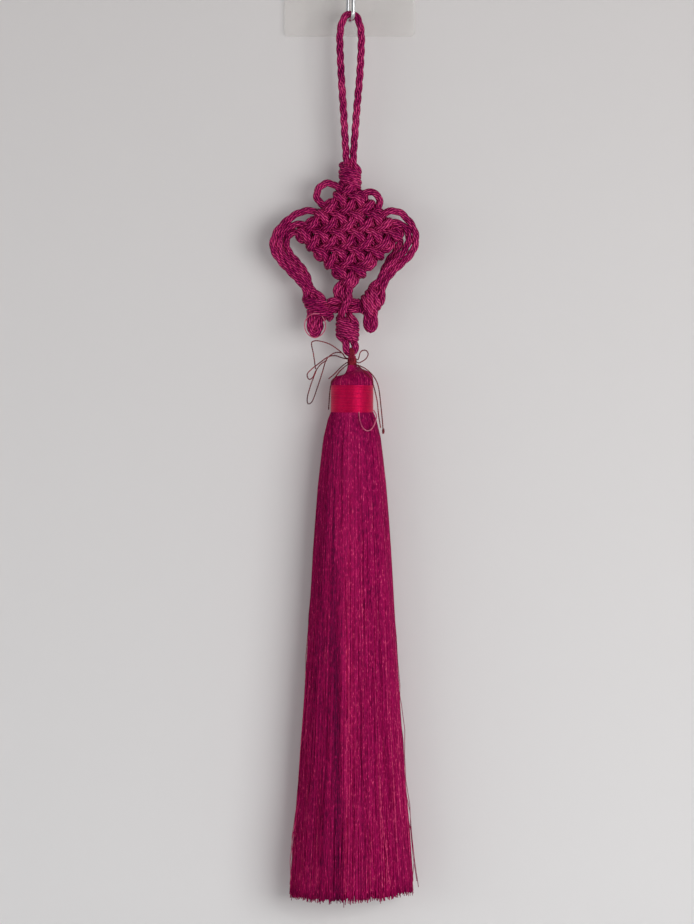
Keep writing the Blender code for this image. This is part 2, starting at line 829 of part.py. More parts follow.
def make_tassel(material, collection):
    """The head and its locks: a grid of cells drawn down from the head's lower face."""
    shape = bmesh.new()
    bmesh.ops.create_grid(shape, x_segments=LOCKS_ACROSS, y_segments=LOCKS_DEEP, size=1.0)
    middle = world((TASSEL_ACROSS, 0.0, 0.0))
    cells = list(shape.faces)
    rim = [edge for edge in shape.edges if edge.is_boundary]
    root_radius, root_drop = HEAD_PROFILE[-1][:2]
    for vertex in shape.verts:
        x, y = round_from_square(vertex.co.x, vertex.co.y)
        vertex.co = middle + Vector((x * root_radius, y * root_radius, -root_drop)) * MM
    for radius, drop, lean in HEAD_PROFILE[-2::-1]:
        grown = bmesh.ops.extrude_edge_only(shape, edges=rim)["geom"]
        rim = [part for part in grown if isinstance(part, bmesh.types.BMEdge)]
        for vertex in [part for part in grown if isinstance(part, bmesh.types.BMVert)]:
            arm = Vector((vertex.co.x - middle.x, vertex.co.y - middle.y, 0.0)).normalized()
            vertex.co = middle + arm * radius * MM
            vertex.co.z = (lean * arm.x * radius - drop) * MM
    bmesh.ops.contextual_create(shape, geom=rim)
    draw_locks(shape, cells)
    bmesh.ops.recalc_face_normals(shape, faces=shape.faces)
    mesh = bpy.data.meshes.new("tassel")
    shape.to_mesh(mesh)
    shape.free()
    return add_mesh_object("tassel", mesh, material, collection)


def draw_locks(shape, cells):
    """Insets each cell and draws it down through the skirt's sections as a lock of threads."""
    bmesh.ops.inset_individual(shape, faces=cells, thickness=ROOT_GAP / 2 * MM)
    middle = world((TASSEL_ACROSS, 0.0, 0.0))
    root = WAIST_RADIUS * MM
    for number, cell in enumerate(cells):
        centre = (cell.calc_center_median() - middle) / root
        corners = [(vertex.co - middle) / root - centre for vertex in cell.verts]
        ragged = RAGGED_END * (math.sin(RAGGED_WAVES[0] * number)
                               * math.cos(RAGGED_WAVES[1] * number))
        face = cell
        for below, half_width, half_depth, from_wall, fullness in SKIRT_SECTIONS:
            face = bmesh.ops.extrude_discrete_faces(shape, faces=[face])["faces"][0]
            drop = BAND_BOTTOM_DROP + below
            if below == SKIRT_SECTIONS[-1][0]:
                drop += ragged
            for vertex, corner in zip(face.verts, corners):
                place = centre + corner * fullness
                vertex.co = Vector((TASSEL_ACROSS + place.x * half_width,
                                    place.y * half_depth - from_wall, -drop)) * MM


def shade_smooth(things):
    """Smooth shading with sharp edges kept, on the meshes of round pieces."""
    for thing in things:
        thing.data.shade_smooth()
        thing.data.set_sharp_from_angle(angle=SMOOTH_ANGLE)


def build():
    """Makes every piece."""
    clear_scene()
    collection = bpy.data.collections.new(COLLECTION)
    bpy.context.scene.collection.children.link(collection)
    materials = {name: make_material(name) for name in COLOURS}
    make_pad(materials["clear_plastic"], collection)
    holder = make_holder(materials["steel"], collection)
    tube("hook_wire", hook_wire_route(), WIRE_DIAMETER, materials["steel"], collection)
    cord = make_knotted_cord(materials["crimson_cord"], collection)
    tassel = make_tassel(materials["crimson_silk"], collection)
    band = make_band(materials["red_satin"], collection)
    wrap = make_wrap(materials["maroon_thread"], collection)
    for name, route in TIE_ROUTES.items():
        points = smooth_route([world(point) for point in route], THREAD_STEP * MM)
        tube(name, points, THREAD_DIAMETER, materials["maroon_thread"], collection)
    shade_smooth([holder, cord, tassel, band, wrap])


build()
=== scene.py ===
"""Looks of the silk tassel on its knotted cord, which hangs from a clear stick-on wall hook.

Routes are in millimetres, in the columns across, forward and drop: to the right of the hook pad's
centre, in front of the plane in which the cord hangs, and below the pad's centre.
"""

import math

import bmesh
import bpy
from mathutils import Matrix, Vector

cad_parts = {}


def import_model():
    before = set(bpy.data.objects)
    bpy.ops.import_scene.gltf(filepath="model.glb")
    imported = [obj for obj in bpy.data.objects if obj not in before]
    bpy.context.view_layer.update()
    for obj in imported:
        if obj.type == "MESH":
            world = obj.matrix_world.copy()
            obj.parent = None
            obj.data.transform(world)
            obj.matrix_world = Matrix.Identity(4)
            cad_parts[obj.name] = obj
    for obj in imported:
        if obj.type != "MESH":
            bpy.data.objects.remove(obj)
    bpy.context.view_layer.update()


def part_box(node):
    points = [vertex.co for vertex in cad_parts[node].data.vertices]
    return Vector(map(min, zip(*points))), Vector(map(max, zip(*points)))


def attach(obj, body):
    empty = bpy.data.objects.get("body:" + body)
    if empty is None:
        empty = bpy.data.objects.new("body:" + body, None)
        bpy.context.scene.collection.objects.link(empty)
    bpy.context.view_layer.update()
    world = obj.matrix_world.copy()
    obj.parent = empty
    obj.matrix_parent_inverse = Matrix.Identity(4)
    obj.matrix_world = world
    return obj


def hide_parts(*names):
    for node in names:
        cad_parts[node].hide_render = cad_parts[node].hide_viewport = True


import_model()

MM = 0.001
HANG_DEPTH = 12.0
BODY = "root"

# The hook
PAD_SIDE = 60.0
PAD_CORNER = 2.2
HOLDER_RADIUS = 8.0
WIRE_DIAMETER = 1.8
HOOK_LEG_SPREAD = 7.8
HOOK_TURN = math.radians(19.0)
HOOK_BOTTOM_DROP = 24.5
HOOK_TIP_DROP = 9.0
HOOK_MIDDLE = 0.4
PIECE_GAP = 0.3

# The turned and lofted bodies: the steps round each, and the angle from which an edge is sharp
BODY_STEPS = 48
SHARP_ANGLE = math.radians(40.0)

# The pad's rounded edge: inset, distance from the wall
PAD_EDGE = [(0.25, 0.0), (0.0, 0.25), (0.0, 1.1), (0.1, 1.38), (0.28, 1.54), (0.5, 1.6)]

# The holder's outline: radius, distance from the wall
HOLDER_PROFILE = [
    (7.7, 1.9),
    (8.0, 2.2),
    (8.0, 8.8),
    (7.85, 9.4),
    (7.4, 9.95),
    (6.7, 10.3),
    (5.8, 10.4),
    (3.0, 10.3),
    (1.0, 10.25),
]

# The wire's rounded tip: share of the radius, share of the radius beyond the last full section
WIRE_TIP = [(0.97, 0.25), (0.87, 0.5), (0.66, 0.75), (0.35, 0.94)]

# The view, in metres but for the sensor
FRAME_HEIGHT = 0.4232
FRAME_MIDDLE = (-0.0012, -0.2256)
CAMERA_DISTANCE = 3.0
NEAREST_SEEN = 0.01
SENSOR_WIDTH = 36.0

# The wall and the floor, in metres, and their colours
STAGE_REACH = 1.5
WALL_TOP = 1.2
WALL_BEHIND = 0.0005
FLOOR_LEVEL = -0.52
FLOOR_FRONT = -3.0
WALL_COLOUR = (0.86, 0.845, 0.84)
# The wall's top is painted darker, as shade.
WALL_TOP_PAINTED_SHADE_COLOUR = (0.71, 0.68, 0.67)
FLOOR_COLOUR = (0.74, 0.73, 0.72)

# The heights between which the wall's painted shade grows
SHADE_FROM = -0.42
SHADE_TO = 0.0

# The lights: place, width and height in metres, and power in watts
LIGHTS = {
    "window": ((0.85, -1.25, -0.2), 1.15, 0.7, 11.7),
    "fill": ((-1.5, -1.05, -0.75), 1.5, 1.5, 14.0),
}
LIGHTS_AIM = (0.0, 0.0, -0.22)
SURROUNDINGS_COLOUR = (0.95, 0.97, 1.0, 1.0)
SURROUNDINGS_STRENGTH = 0.32

# The cord: its thickness in each stretch, its lay, and its plies as shares of its thickness
CORD_DIAMETER = 3.35
LATTICE_CORD = 4.0
KNOT_CORD = 3.6
LOOP_CORD = 3.6
LINK_CORD = 3.8
CORD_LAY = 16.5
CORD_STEP = 0.8
CORD_SIDES = 8
PLY_SHARE = 0.265
PLY_REACH = 0.236

# The lattice knot: its middle's drop, its step, and its reach in half steps. The front layer and
# the pair's offset are in cord diameters. The bend's offset and the turn's reach are in half
# steps, and the turn's width is a share of a pair's.
LATTICE_DROP = 121.4
LATTICE_STEP = 4.12
LATTICE_REACH = 5
FRONT_LAYER = 0.94
PAIR_OFFSET = 0.56
BEND_OFFSET = 0.5
TURN_REACH = 0.85
TURN_WIDTH = 0.6

# The tie thread, and the knot at the end of one
THREAD_DIAMETER = 0.6
THREAD_STEP = 0.45
THREAD_LAY = 1.6
THREAD_SIDES = 6
THREAD_PLY_SHARE = 0.3
THREAD_PLY_REACH = 0.24
END_KNOT_RADIUS = 0.5
END_KNOT_HEIGHT = 2.2
END_KNOT_TURNS = 3.5
END_KNOT_STEPS = 60

# The tassel: where its middle is, how far the skirt leans back, how much higher its sides end, and
# how much shorter and narrower its inner parts are
TASSEL_ACROSS = 1.1
SKIRT_LEAN = 0.0157
SIDE_LIFT = 3.6
SIDE_LIFT_SHIFT = 0.17
INSIDE_SHORTER = 3.0
CORE_SHORTER = 9.0
HEAD_BODY_SHARE = 0.97
SKIRT_CORE_SHARE = 0.8

# How the threads of the tassel lie: the turn from one to the next, waves down each and from one to
# the next, folds down and round the skirt and how soon they are full, how late the side lift and
# the taper of the ends begin, and the sides of a thread
GOLDEN_ANGLE = math.pi * (3.0 - math.sqrt(5.0))
NOISE_MIDDLE = 0.5
WAVES_APART = 7.31
WAVES_DOWN = 5.0
FOLDS_ROUND = 2.4
FOLDS_DOWN = 0.5
FOLDS_GROWTH = 8.0
LIFT_POWER = 4.0
TAPER_POWER = 12.0
HUNG_SIDES = 3

# The tassel's threads: how many, the points on each, the inner share of their section, their
# thickness in millimetres, wander, fold, how ragged their ends are in millimetres, how crowded
# their upper points are, the taper of their ends, and the seed
TASSEL_THREADS = {
    "tassel_skirt_outside": (1900, 16, 0.86, 0.6, 0.09, 0.12, 3.6, 1.6, 0.7, 3),
    "tassel_skirt_fine": (1300, 16, 0.97, 0.42, 0.13, 0.12, 6.4, 1.6, 0.8, 3),
    "tassel_skirt_inside": (1500, 10, 0.02, 0.62, 0.05, 0.0, 4.0, 1.6, 0.5, 8),
    "tassel_stray_threads": (90, 24, 0.98, 0.34, 0.5, 0.1, 9.0, 1.3, 0.6, 5),
    "tassel_head_threads": (260, 16, 0.97, 0.5, 0.0, 0.03, 0.0, 1.0, 0.0, 5),
}

# The bindings: the solid that each stands for, its slot and material, the thread's thickness and
# unevenness in millimetres, and the width as a share of the solid's
BINDINGS = {
    "binding_satin_turns": ("binding_band", "red_satin", "red satin", 0.42, 0.16, 1.0),
    "tie_wrap_turns": ("tie_wrap", "maroon_thread", "rust thread", 0.62, 0.3, 0.9),
}

# How the bindings are wound: the pitch in thicknesses, the points on a turn, the thread's sides,
# and how close together its uneven places come
TURN_PITCH = 0.9
TURN_POINTS = 56
TURN_SIDES = 6
UNEVEN_SCALE = 420.0

# One knotted pair of cords: the turns that each makes, and its sizes in cord diameters
KNOT_TURNS = 1.5
KNOT_REACH = 1.12
KNOT_RISE = 1.42
KNOT_SLANT = 0.42
KNOT_STEPS = 12
KNOT_LEAD_ASIDE = 0.5
KNOT_LEAD_REACH = 2.3
KNOT_CORE_REACH = 2.1

# Where the knotted pairs sit: across, drop, roll in degrees, height as a share of the round knot's
UPPER_KNOT = (0.2, 95.0, 0.0, 0.8)
LOWER_KNOT = (-1.0, 165.0, 0.0, 0.8)
LEFT_KNOT = (-14.6, 155.0, 26.0, 0.92)
RIGHT_KNOT = (9.8, 152.4, -36.0, 0.92)

# Routes of the cord: across, forward, drop
HANGING_LOOP = [
    (-1.7, 0.0, 84.0), (-2.8, 0.0, 65.0), (-3.8, 0.0, 49.0), (-4.5, 0.0, 33.0), (-4.0, 0.0, 26.5),
    (-2.4, 0.0, 22.0), (0.5, 0.0, 20.4), (3.4, 0.0, 22.0), (4.9, 0.0, 26.5), (5.4, 0.0, 33.0),
    (4.6, 0.0, 49.0), (3.2, 0.0, 65.0), (1.8, 0.0, 84.0),
]
LEFT_EAR = [
    (-3.0, 0.0, 103.5), (-4.6, 0.3, 100.6), (-7.4, 0.5, 98.6), (-10.4, 0.5, 97.9),
    (-13.4, 0.5, 99.5), (-15.1, 0.4, 102.8), (-14.3, 0.2, 105.9), (-11.4, 0.0, 108.6),
    (-9.4, 0.0, 110.6),
]
RIGHT_EAR = [
    (3.0, 0.0, 106.0), (4.8, 0.4, 103.5), (7.2, 0.6, 102.2), (9.8, 0.6, 102.0), (12.4, 0.5, 103.2),
    (13.9, 0.3, 105.7), (12.9, 0.0, 109.0), (11.0, 0.0, 112.0),
]
LEFT_OUTER = [
    (-13.0, 0.0, 112.4), (-16.8, 0.6, 110.6), (-21.8, 0.8, 111.0), (-26.5, 0.8, 113.4),
    (-30.3, 0.8, 116.6), (-33.5, 0.8, 120.5), (-35.1, 0.8, 125.0), (-34.7, 0.8, 128.9),
    (-31.9, 0.6, 133.3), (-28.3, 0.4, 137.2), (-24.7, 0.2, 141.0), (-21.4, 0.0, 144.6),
    (-19.6, 0.0, 148.4),
]
LEFT_INNER = [
    (-17.0, 0.0, 118.4), (-21.0, 0.4, 116.9), (-25.1, 0.6, 116.9), (-29.0, 0.7, 118.9),
    (-31.6, 0.7, 122.2), (-32.2, 0.6, 126.2), (-31.2, 0.5, 129.9), (-28.1, 0.4, 133.7),
    (-24.6, 0.2, 137.5), (-21.2, 0.1, 141.0), (-18.7, 0.0, 145.2),
]
LEFT_BACK = [
    (-19.4, 0.0, 121.6), (-23.4, 0.2, 120.6), (-26.8, 0.0, 120.9), (-28.8, -0.8, 123.3),
    (-29.0, -1.6, 126.6), (-27.2, -2.2, 130.4), (-23.6, -2.6, 134.4), (-20.4, -2.6, 138.6),
    (-18.6, -1.8, 143.6), (-17.4, -0.5, 152.4),
]
RIGHT_OUTER = [
    (12.0, 0.0, 114.6), (14.6, 0.6, 112.6), (17.1, 0.8, 111.2), (19.9, 0.8, 110.6),
    (23.2, 0.8, 111.5), (26.6, 0.8, 114.6), (29.1, 0.8, 118.3), (30.3, 0.8, 122.8),
    (29.5, 0.7, 127.8), (27.0, 0.6, 131.6), (23.2, 0.4, 135.2), (19.8, 0.3, 138.4),
    (17.2, 0.1, 141.6), (15.2, 0.0, 145.6),
]
RIGHT_INNER = [
    (14.2, 0.0, 118.0), (17.6, 0.4, 116.6), (20.9, 0.6, 116.0), (24.4, 0.6, 117.2),
    (26.6, 0.6, 120.0), (27.1, 0.6, 123.6), (25.6, 0.6, 127.9), (22.4, 0.5, 131.6),
    (19.2, 0.3, 134.8), (16.2, 0.2, 138.0), (13.4, 0.0, 142.6),
]
RIGHT_BACK = [
    (18.4, 0.0, 120.6), (21.4, 0.0, 121.4), (23.0, -1.0, 124.8), (21.2, -2.2, 129.0),
    (18.4, -2.8, 132.6), (15.8, -2.6, 137.4), (14.4, -1.8, 142.4), (12.8, -0.8, 148.0),
]
LEFT_LINK_UPPER = [
    (-9.8, 0.4, 152.6), (-7.6, 0.6, 151.9), (-4.6, 0.2, 152.0), (-1.8, 0.0, 152.1),
    (1.4, 0.2, 152.4), (4.6, 0.2, 152.2),
]
LEFT_LINK_LOWER = [
    (-10.2, 0.4, 156.6), (-7.8, 0.6, 155.8), (-4.8, 0.2, 155.5), (-1.8, 0.0, 155.6),
    (1.2, 0.2, 155.8), (4.6, 0.2, 155.4),
]
LINK_BACK = [
    (-10.4, -1.4, 154.2), (-6.4, -1.6, 153.6), (-1.8, -1.8, 153.6), (2.6, -1.6, 153.6),
    (6.0, -1.4, 153.8),
]
LEFT_TAIL = [
    (-17.9, 0.6, 156.0), (-17.9, 2.2, 159.6), (-17.9, 3.6, 163.0), (-17.3, 4.2, 165.9),
    (-15.8, 4.4, 167.2), (-14.3, 4.2, 165.9), (-13.7, 3.6, 163.0), (-13.7, 2.2, 159.6),
    (-13.8, 0.6, 156.0),
]
LEFT_TAIL_CORE = [
    (-15.8, -0.4, 156.0), (-15.8, 2.6, 160.2), (-15.8, 4.6, 164.4),
]
RIGHT_TAIL = [
    (7.9, 0.4, 155.4), (7.9, 0.8, 159.4), (8.1, 0.9, 163.2), (9.6, 0.9, 165.3), (11.1, 0.9, 163.2),
    (11.3, 0.8, 159.4), (11.2, 0.4, 155.4),
]
RIGHT_TAIL_CORE = [
    (9.6, 0.2, 156.0), (9.6, 0.4, 160.0), (9.6, 0.6, 163.0),
]
STEM_FRONT = [
    (1.6, 0.6, 141.0), (0.0, 1.0, 144.6), (-0.2, 1.6, 148.0), (-0.4, 2.6, 151.0),
    (-1.8, 3.2, 153.8), (-3.4, 2.6, 156.6), (-3.6, 1.0, 158.6),
]
STEM_BACK = [
    (-1.6, 0.0, 141.4), (-4.6, 0.4, 144.6), (-6.1, 0.2, 147.8), (-4.8, -1.6, 151.2),
    (-1.9, -3.0, 153.8), (0.0, -2.4, 156.4), (0.2, 0.0, 158.6),
]
STEM_MIDDLE = [
    (0.2, -0.6, 141.0), (-2.2, -0.6, 145.2), (-3.0, 0.6, 148.8), (-2.2, 0.4, 152.0),
]
END_LOOP = [
    (1.9, 0.0, 169.8), (2.5, 0.1, 172.4), (2.0, 0.1, 174.8), (0.4, 0.1, 175.9), (-1.1, 0.1, 174.8),
    (-1.7, 0.1, 172.4), (-2.3, 0.0, 169.8),
]

# Routes of the tie thread: across, forward, drop
TIE_ROUTES = {
    "tie_loop_right": [
        (3.9, 1.3, 178.6), (5.0, 1.6, 175.2), (7.2, 1.8, 174.4), (8.5, 1.8, 176.0),
        (7.6, 1.8, 178.2), (5.8, 1.6, 179.5), (3.9, 1.3, 180.2),
    ],
    "tie_loop_left_short": [
        (-1.6, 1.4, 178.4), (-3.8, 2.4, 177.8), (-6.8, 3.0, 176.9), (-10.0, 3.2, 177.6),
        (-13.4, 3.4, 180.0), (-17.0, 3.4, 182.8), (-19.4, 3.4, 185.4), (-18.6, 3.6, 187.8),
        (-16.8, 3.8, 186.8), (-15.4, 4.2, 183.8), (-13.2, 4.6, 180.9), (-10.4, 4.8, 179.0),
    ],
    "tie_loop_left_long": [
        (-2.0, 0.0, 177.8), (-3.2, 0.2, 175.9), (-6.0, 0.6, 175.4), (-8.6, 0.8, 176.6),
        (-10.8, 1.0, 179.0), (-12.4, 1.2, 184.2), (-14.6, 1.4, 191.0), (-17.0, 1.6, 197.6),
        (-19.0, 1.6, 199.0), (-19.4, 1.6, 196.4), (-18.2, 1.6, 191.6), (-16.4, 1.6, 186.6),
        (-14.8, 1.6, 182.6),
    ],
    "tie_thread_upper": [
        (-1.6, -1.4, 178.0), (-3.4, -1.4, 175.8), (-6.0, -1.2, 173.6), (-9.6, -1.0, 171.4),
        (-14.2, -0.6, 170.1), (-17.0, -0.6, 170.4), (-17.4, -0.6, 172.2), (-16.6, -0.4, 176.0),
        (-15.6, 0.0, 183.0),
    ],
    "tie_end_left_short": [
        (-1.4, 2.0, 180.2), (-4.4, 4.0, 182.6), (-7.0, 6.0, 185.4), (-9.6, 7.0, 187.6),
    ],
    "tie_end_left_long": [
        (-0.8, 2.4, 181.0), (-4.0, 5.6, 183.6), (-6.8, 7.4, 187.2), (-8.6, 7.6, 190.6),
        (-9.2, 7.6, 195.6), (-9.6, 7.6, 201.6),
    ],
    "tie_end_right_long": [
        (3.6, 1.8, 181.2), (7.4, 4.2, 183.0), (10.6, 5.2, 186.0), (12.6, 5.2, 189.4),
        (13.6, 5.2, 193.6), (14.2, 5.2, 199.0), (15.0, 5.2, 207.0), (15.4, 5.2, 212.6),
    ],
    "tie_end_right_short": [
        (2.7, 2.7, 180.8), (5.9, 5.9, 183.4), (9.6, 7.6, 187.4), (11.2, 7.6, 191.8),
        (12.6, 7.4, 198.0), (13.2, 7.4, 204.0), (14.2, 7.4, 210.0),
    ],
    "tie_front_loop": [
        (4.4, 10.0, 204.4), (4.8, 11.4, 207.0), (6.2, 11.6, 210.2), (8.4, 11.2, 211.4),
        (10.6, 10.0, 209.8), (11.8, 8.8, 207.0), (12.2, 8.4, 204.4),
    ],
    "tail_ring": [
        (-12.6, 6.3, 158.9), (-11.2, 5.4, 161.6), (-11.2, 5.2, 164.8), (-12.9, 5.5, 167.4),
        (-15.8, 5.7, 168.8), (-18.8, 5.5, 167.4), (-20.4, 5.2, 164.6), (-20.3, 5.2, 161.2),
        (-18.6, 6.0, 158.8), (-16.2, 6.6, 157.8), (-13.8, 6.6, 157.9),
    ],
}

# The paler rings, and where the threads' hidden ends are caught
LOOSE_RINGS = ("tie_front_loop", "tail_ring")
FRONT_LOOP_CAUGHT = ((4.2, 8.4, 201.8), (11.0, 6.0, 201.8))
CAUGHT_SHARE = 0.35
WRAP_DROPS = (178.2, 181.2)

# A tie strand from the slit of the end loop over its lower bend to the neck, where the strands
# start, and how far they have spread at the neck
OVER_LOOP = [
    (0.0, -1.2, 173.7), (0.0, 0.6, 173.4), (0.1, 2.2, 174.4), (0.2, 2.7, 176.2), (0.1, 2.5, 178.0),
    (0.0, 2.3, 179.6),
]
OVER_LOOP_STARTS = (0.55, 0.85, 1.15, 1.45)
OVER_LOOP_SPREAD = 2.6

# The painted shade of a fold down the skirt, a darker stripe in the silk's colour only: where it
# lies at the pad's level, its slope, the drop from which it spreads and by how much, its least half
# width, and how dark it is painted
FOLD_ACROSS = -10.6
FOLD_SLOPE = -0.0125
FOLD_TOP_DROP = 200.0
FOLD_SPREAD = 0.019
FOLD_LEAST = 0.6
FOLD_PAINTED_SHADE = 0.11

# The head's threads from the neck down: radius, drop, and rise towards the right as a share of the
# way across
HEAD_GUIDE = [
    (1.5, 176.9, 0.0), (1.7, 180.6, 0.0), (1.95, 182.3, 0.25), (2.8, 183.5, 0.48),
    (3.8, 184.3, 0.38), (5.5, 184.8, 0.24), (7.3, 185.4, 0.16), (9.1, 186.9, 0.12),
    (9.7, 188.5, 0.04), (9.6, 190.2, 0.0), (9.2, 192.0, 0.0),
]

# The skirt's threads from inside the band down: half width, half depth, drop
SKIRT_GUIDE = [
    (8.5, 8.5, 198.0), (9.0, 9.0, 202.8), (10.5, 9.8, 205.2), (12.2, 10.6, 209.4),
    (13.7, 11.2, 220.0), (15.7, 11.7, 238.4), (17.2, 12.0, 258.0), (20.4, 12.7, 311.0),
    (23.8, 13.3, 367.5), (28.1, 14.0, 424.3),
]


def world(point):
    """A point given as across, forward and drop in millimetres, in metres."""
    across, forward, drop = point
    return Vector((across, -HANG_DEPTH - forward, -drop)) * MM


def circle_points(count):
    """The cosine and sine of so many even turns round a circle."""
    turns = [math.tau * step / count for step in range(count)]
    return [(math.cos(turn), math.sin(turn)) for turn in turns]


def smooth_route(points, step, closed=False):
    """Points about one step apart on a smooth curve through the route's own points."""
    if closed:
        ends = [points[-1]] + points + points[:2]
    else:
        ends = [points[0] * 2 - points[1]] + points + [points[-1] * 2 - points[-2]]
    fine = []
    parts = 12
    for index in range(1, len(ends) - 2):
        before, start, end, after = ends[index - 1:index + 3]
        for part in range(parts):
            t = part / parts
            fine.append(0.5 * (2 * start + (end - before) * t
                               + (2 * before - 5 * start + 4 * end - after) * t ** 2
                               + (3 * start - before - 3 * end + after) * t ** 3))
    fine.append(ends[-2])
    lengths = [0.0]
    for start, end in zip(fine, fine[1:]):
        lengths.append(lengths[-1] + (end - start).length)
    count = max(2, round(lengths[-1] / step))
    even, index = [], 0
    for number in range(count if closed else count + 1):
        target = lengths[-1] * number / count
        while index < len(fine) - 2 and lengths[index + 1] < target:
            index += 1
        share = (target - lengths[index]) / (lengths[index + 1] - lengths[index])
        even.append(fine[index].lerp(fine[index + 1], share))
    return even


def fill(node, inputs):
    """Links sockets to the node's inputs, and sets those that get a plain value."""
    for key, value in inputs.items():
        if isinstance(value, bpy.types.NodeSocket):
            node.id_data.links.new(value, node.inputs[key])
        else:
            node.inputs[key].default_value = value


def add_node(tree, kind, inputs=None, **settings):
    """Adds one node with its settings, its inputs filled with values or linked."""
    node = tree.nodes.new(kind)
    for name, value in settings.items():
        setattr(node, name, value)
    fill(node, inputs or {})
    return node


def calc_node(kind, operation, inputs):
    """The first result of a node that works on sockets of one tree and on numbers."""
    tree = next(value.id_data for value in inputs.values()
                if isinstance(value, bpy.types.NodeSocket))
    return add_node(tree, kind, inputs, operation=operation).outputs[0]


def calc(operation, *values):
    """The result of a Math node."""
    return calc_node("ShaderNodeMath", operation, dict(enumerate(values)))


def plus(first, second):
    """The sum of two values."""
    return calc("ADD", first, second)


def minus(first, second):
    """The first value less the second."""
    return calc("SUBTRACT", first, second)


def times(first, second):
    """The product of two values."""
    return calc("MULTIPLY", first, second)


def calc_vector(operation, *values):
    """The vector that a Vector Math node gives."""
    return calc_node("ShaderNodeVectorMath", operation, dict(enumerate(values)))


def scaled(vector, size):
    """The vector times a value."""
    return calc_node("ShaderNodeVectorMath", "SCALE", {0: vector, "Scale": size})


def combine(tree, x, y, z):
    """A vector of three values."""
    return add_node(tree, "ShaderNodeCombineXYZ", {0: x, 1: y, 2: z}).outputs[0]


def separate(vector):
    """The three values of a vector."""
    return add_node(vector.id_data, "ShaderNodeSeparateXYZ", {0: vector}).outputs


def noise(place, scale, detail, result="Fac"):
    """A noise texture's value at the place, or its colour."""
    inputs = {"Vector": place, "Scale": scale, "Detail": detail}
    return add_node(place.id_data, "ShaderNodeTexNoise", inputs).outputs[result]


def off_middle(colour):
    """A noise texture's colour as a shift either way."""
    return calc_vector("SUBTRACT", colour, (NOISE_MIDDLE,) * 3)


def new_geometry_tree(name, **inputs):
    """A geometry tree with the named inputs of each kind, what they give, and its output node."""
    tree = bpy.data.node_groups.new(name, "GeometryNodeTree")
    tree.interface.new_socket("Geometry", in_out="INPUT", socket_type="NodeSocketGeometry")
    for kind, labels in inputs.items():
        for label in labels:
            tree.interface.new_socket(label, in_out="INPUT", socket_type="NodeSocket" + kind)
    tree.interface.new_socket("Geometry", in_out="OUTPUT", socket_type="NodeSocketGeometry")
    return tree, tree.nodes.new("NodeGroupInput").outputs, tree.nodes.new("NodeGroupOutput")


def finish_tree(output, curve, profile, material):
    """Sweeps the profile along the curves, and ends the tree with its shading and material."""
    tree = output.id_data
    made = add_node(tree, "GeometryNodeCurveToMesh", {"Curve": curve, "Profile Curve": profile,
                                                      "Fill Caps": True}).outputs[0]
    for kind, inputs in (("GeometryNodeSetShadeSmooth", {}),
                         ("GeometryNodeRealizeInstances", {}),
                         ("GeometryNodeSetMaterial", {"Material": material})):
        made = add_node(tree, kind, {"Geometry": made, **inputs}).outputs[0]
    fill(output, {0: made})


def copied(curve, amount):
    """The curve copied so many times, and each copy's number."""
    made = add_node(curve.id_data, "GeometryNodeDuplicateElements",
                    {"Geometry": curve, "Amount": amount}, domain="SPLINE").outputs
    return made[0], made["Duplicate Index"]


def stored(geometry, name, value, kind="FLOAT"):
    """The geometry with one named value stored on its points."""
    node = add_node(geometry.id_data, "GeometryNodeStoreNamedAttribute",
                    {"Geometry": geometry, "Name": name}, data_type=kind, domain="POINT")
    socket = next(socket for socket in node.inputs if socket.name == "Value" and socket.enabled)
    geometry.id_data.links.new(value, socket)
    return node.outputs[0]


def round_profile(sides, radius):
    """A circle to sweep, which stores where round the thread each point lies."""
    tree = radius.id_data
    circle = add_node(tree, "GeometryNodeCurvePrimitiveCircle",
                      {"Resolution": sides, "Radius": radius}).outputs[0]
    place = add_node(tree, "GeometryNodeInputPosition").outputs[0]
    return stored(circle, "around", calc_vector("NORMALIZE", place), "FLOAT_VECTOR")


def laid_rope_tree():
    """Lays plies round each run of edges: tubes on helices with a whole count of turns."""
    tree, given, output = new_geometry_tree(
        "laid rope", Int=("Plies", "Sides"), Material=("Material",),
        Float=("Rope Diameter", "Lay Length", "Step", "Ply Share", "Ply Reach"))
    curve = add_node(tree, "GeometryNodeMeshToCurve", {"Mesh": given["Geometry"]}).outputs[0]
    even = add_node(tree, "GeometryNodeResampleCurve", {"Curve": curve, "Length": given["Step"]},
                    mode="LENGTH").outputs[0]
    plies, number = copied(even, given["Plies"])
    run = add_node(tree, "GeometryNodeSplineParameter").outputs
    length = add_node(tree, "GeometryNodeSplineLength").outputs["Length"]
    turns = calc("MAXIMUM", calc("ROUND", calc("DIVIDE", length, given["Lay Length"])), 1.0)
    start = calc("DIVIDE", number, given["Plies"])
    angle = times(plus(times(turns, run["Factor"]), start), math.tau)
    normal = add_node(tree, "GeometryNodeInputNormal").outputs[0]
    tangent = add_node(tree, "GeometryNodeInputTangent").outputs[0]
    side = calc_vector("CROSS_PRODUCT", tangent, normal)
    arm = calc_vector("ADD", scaled(normal, calc("COSINE", angle)),
                      scaled(side, calc("SINE", angle)))
    reach = times(given["Rope Diameter"], given["Ply Reach"])
    laid = add_node(tree, "GeometryNodeSetPosition",
                    {"Geometry": plies, "Offset": scaled(arm, reach)}).outputs[0]
    laid = stored(laid, "along", calc("DIVIDE", run["Length"], MM))
    laid = stored(laid, "ply", start)
    radius = times(given["Rope Diameter"], given["Ply Share"])
    finish_tree(output, laid, round_profile(given["Sides"], radius), given["Material"])
    return tree


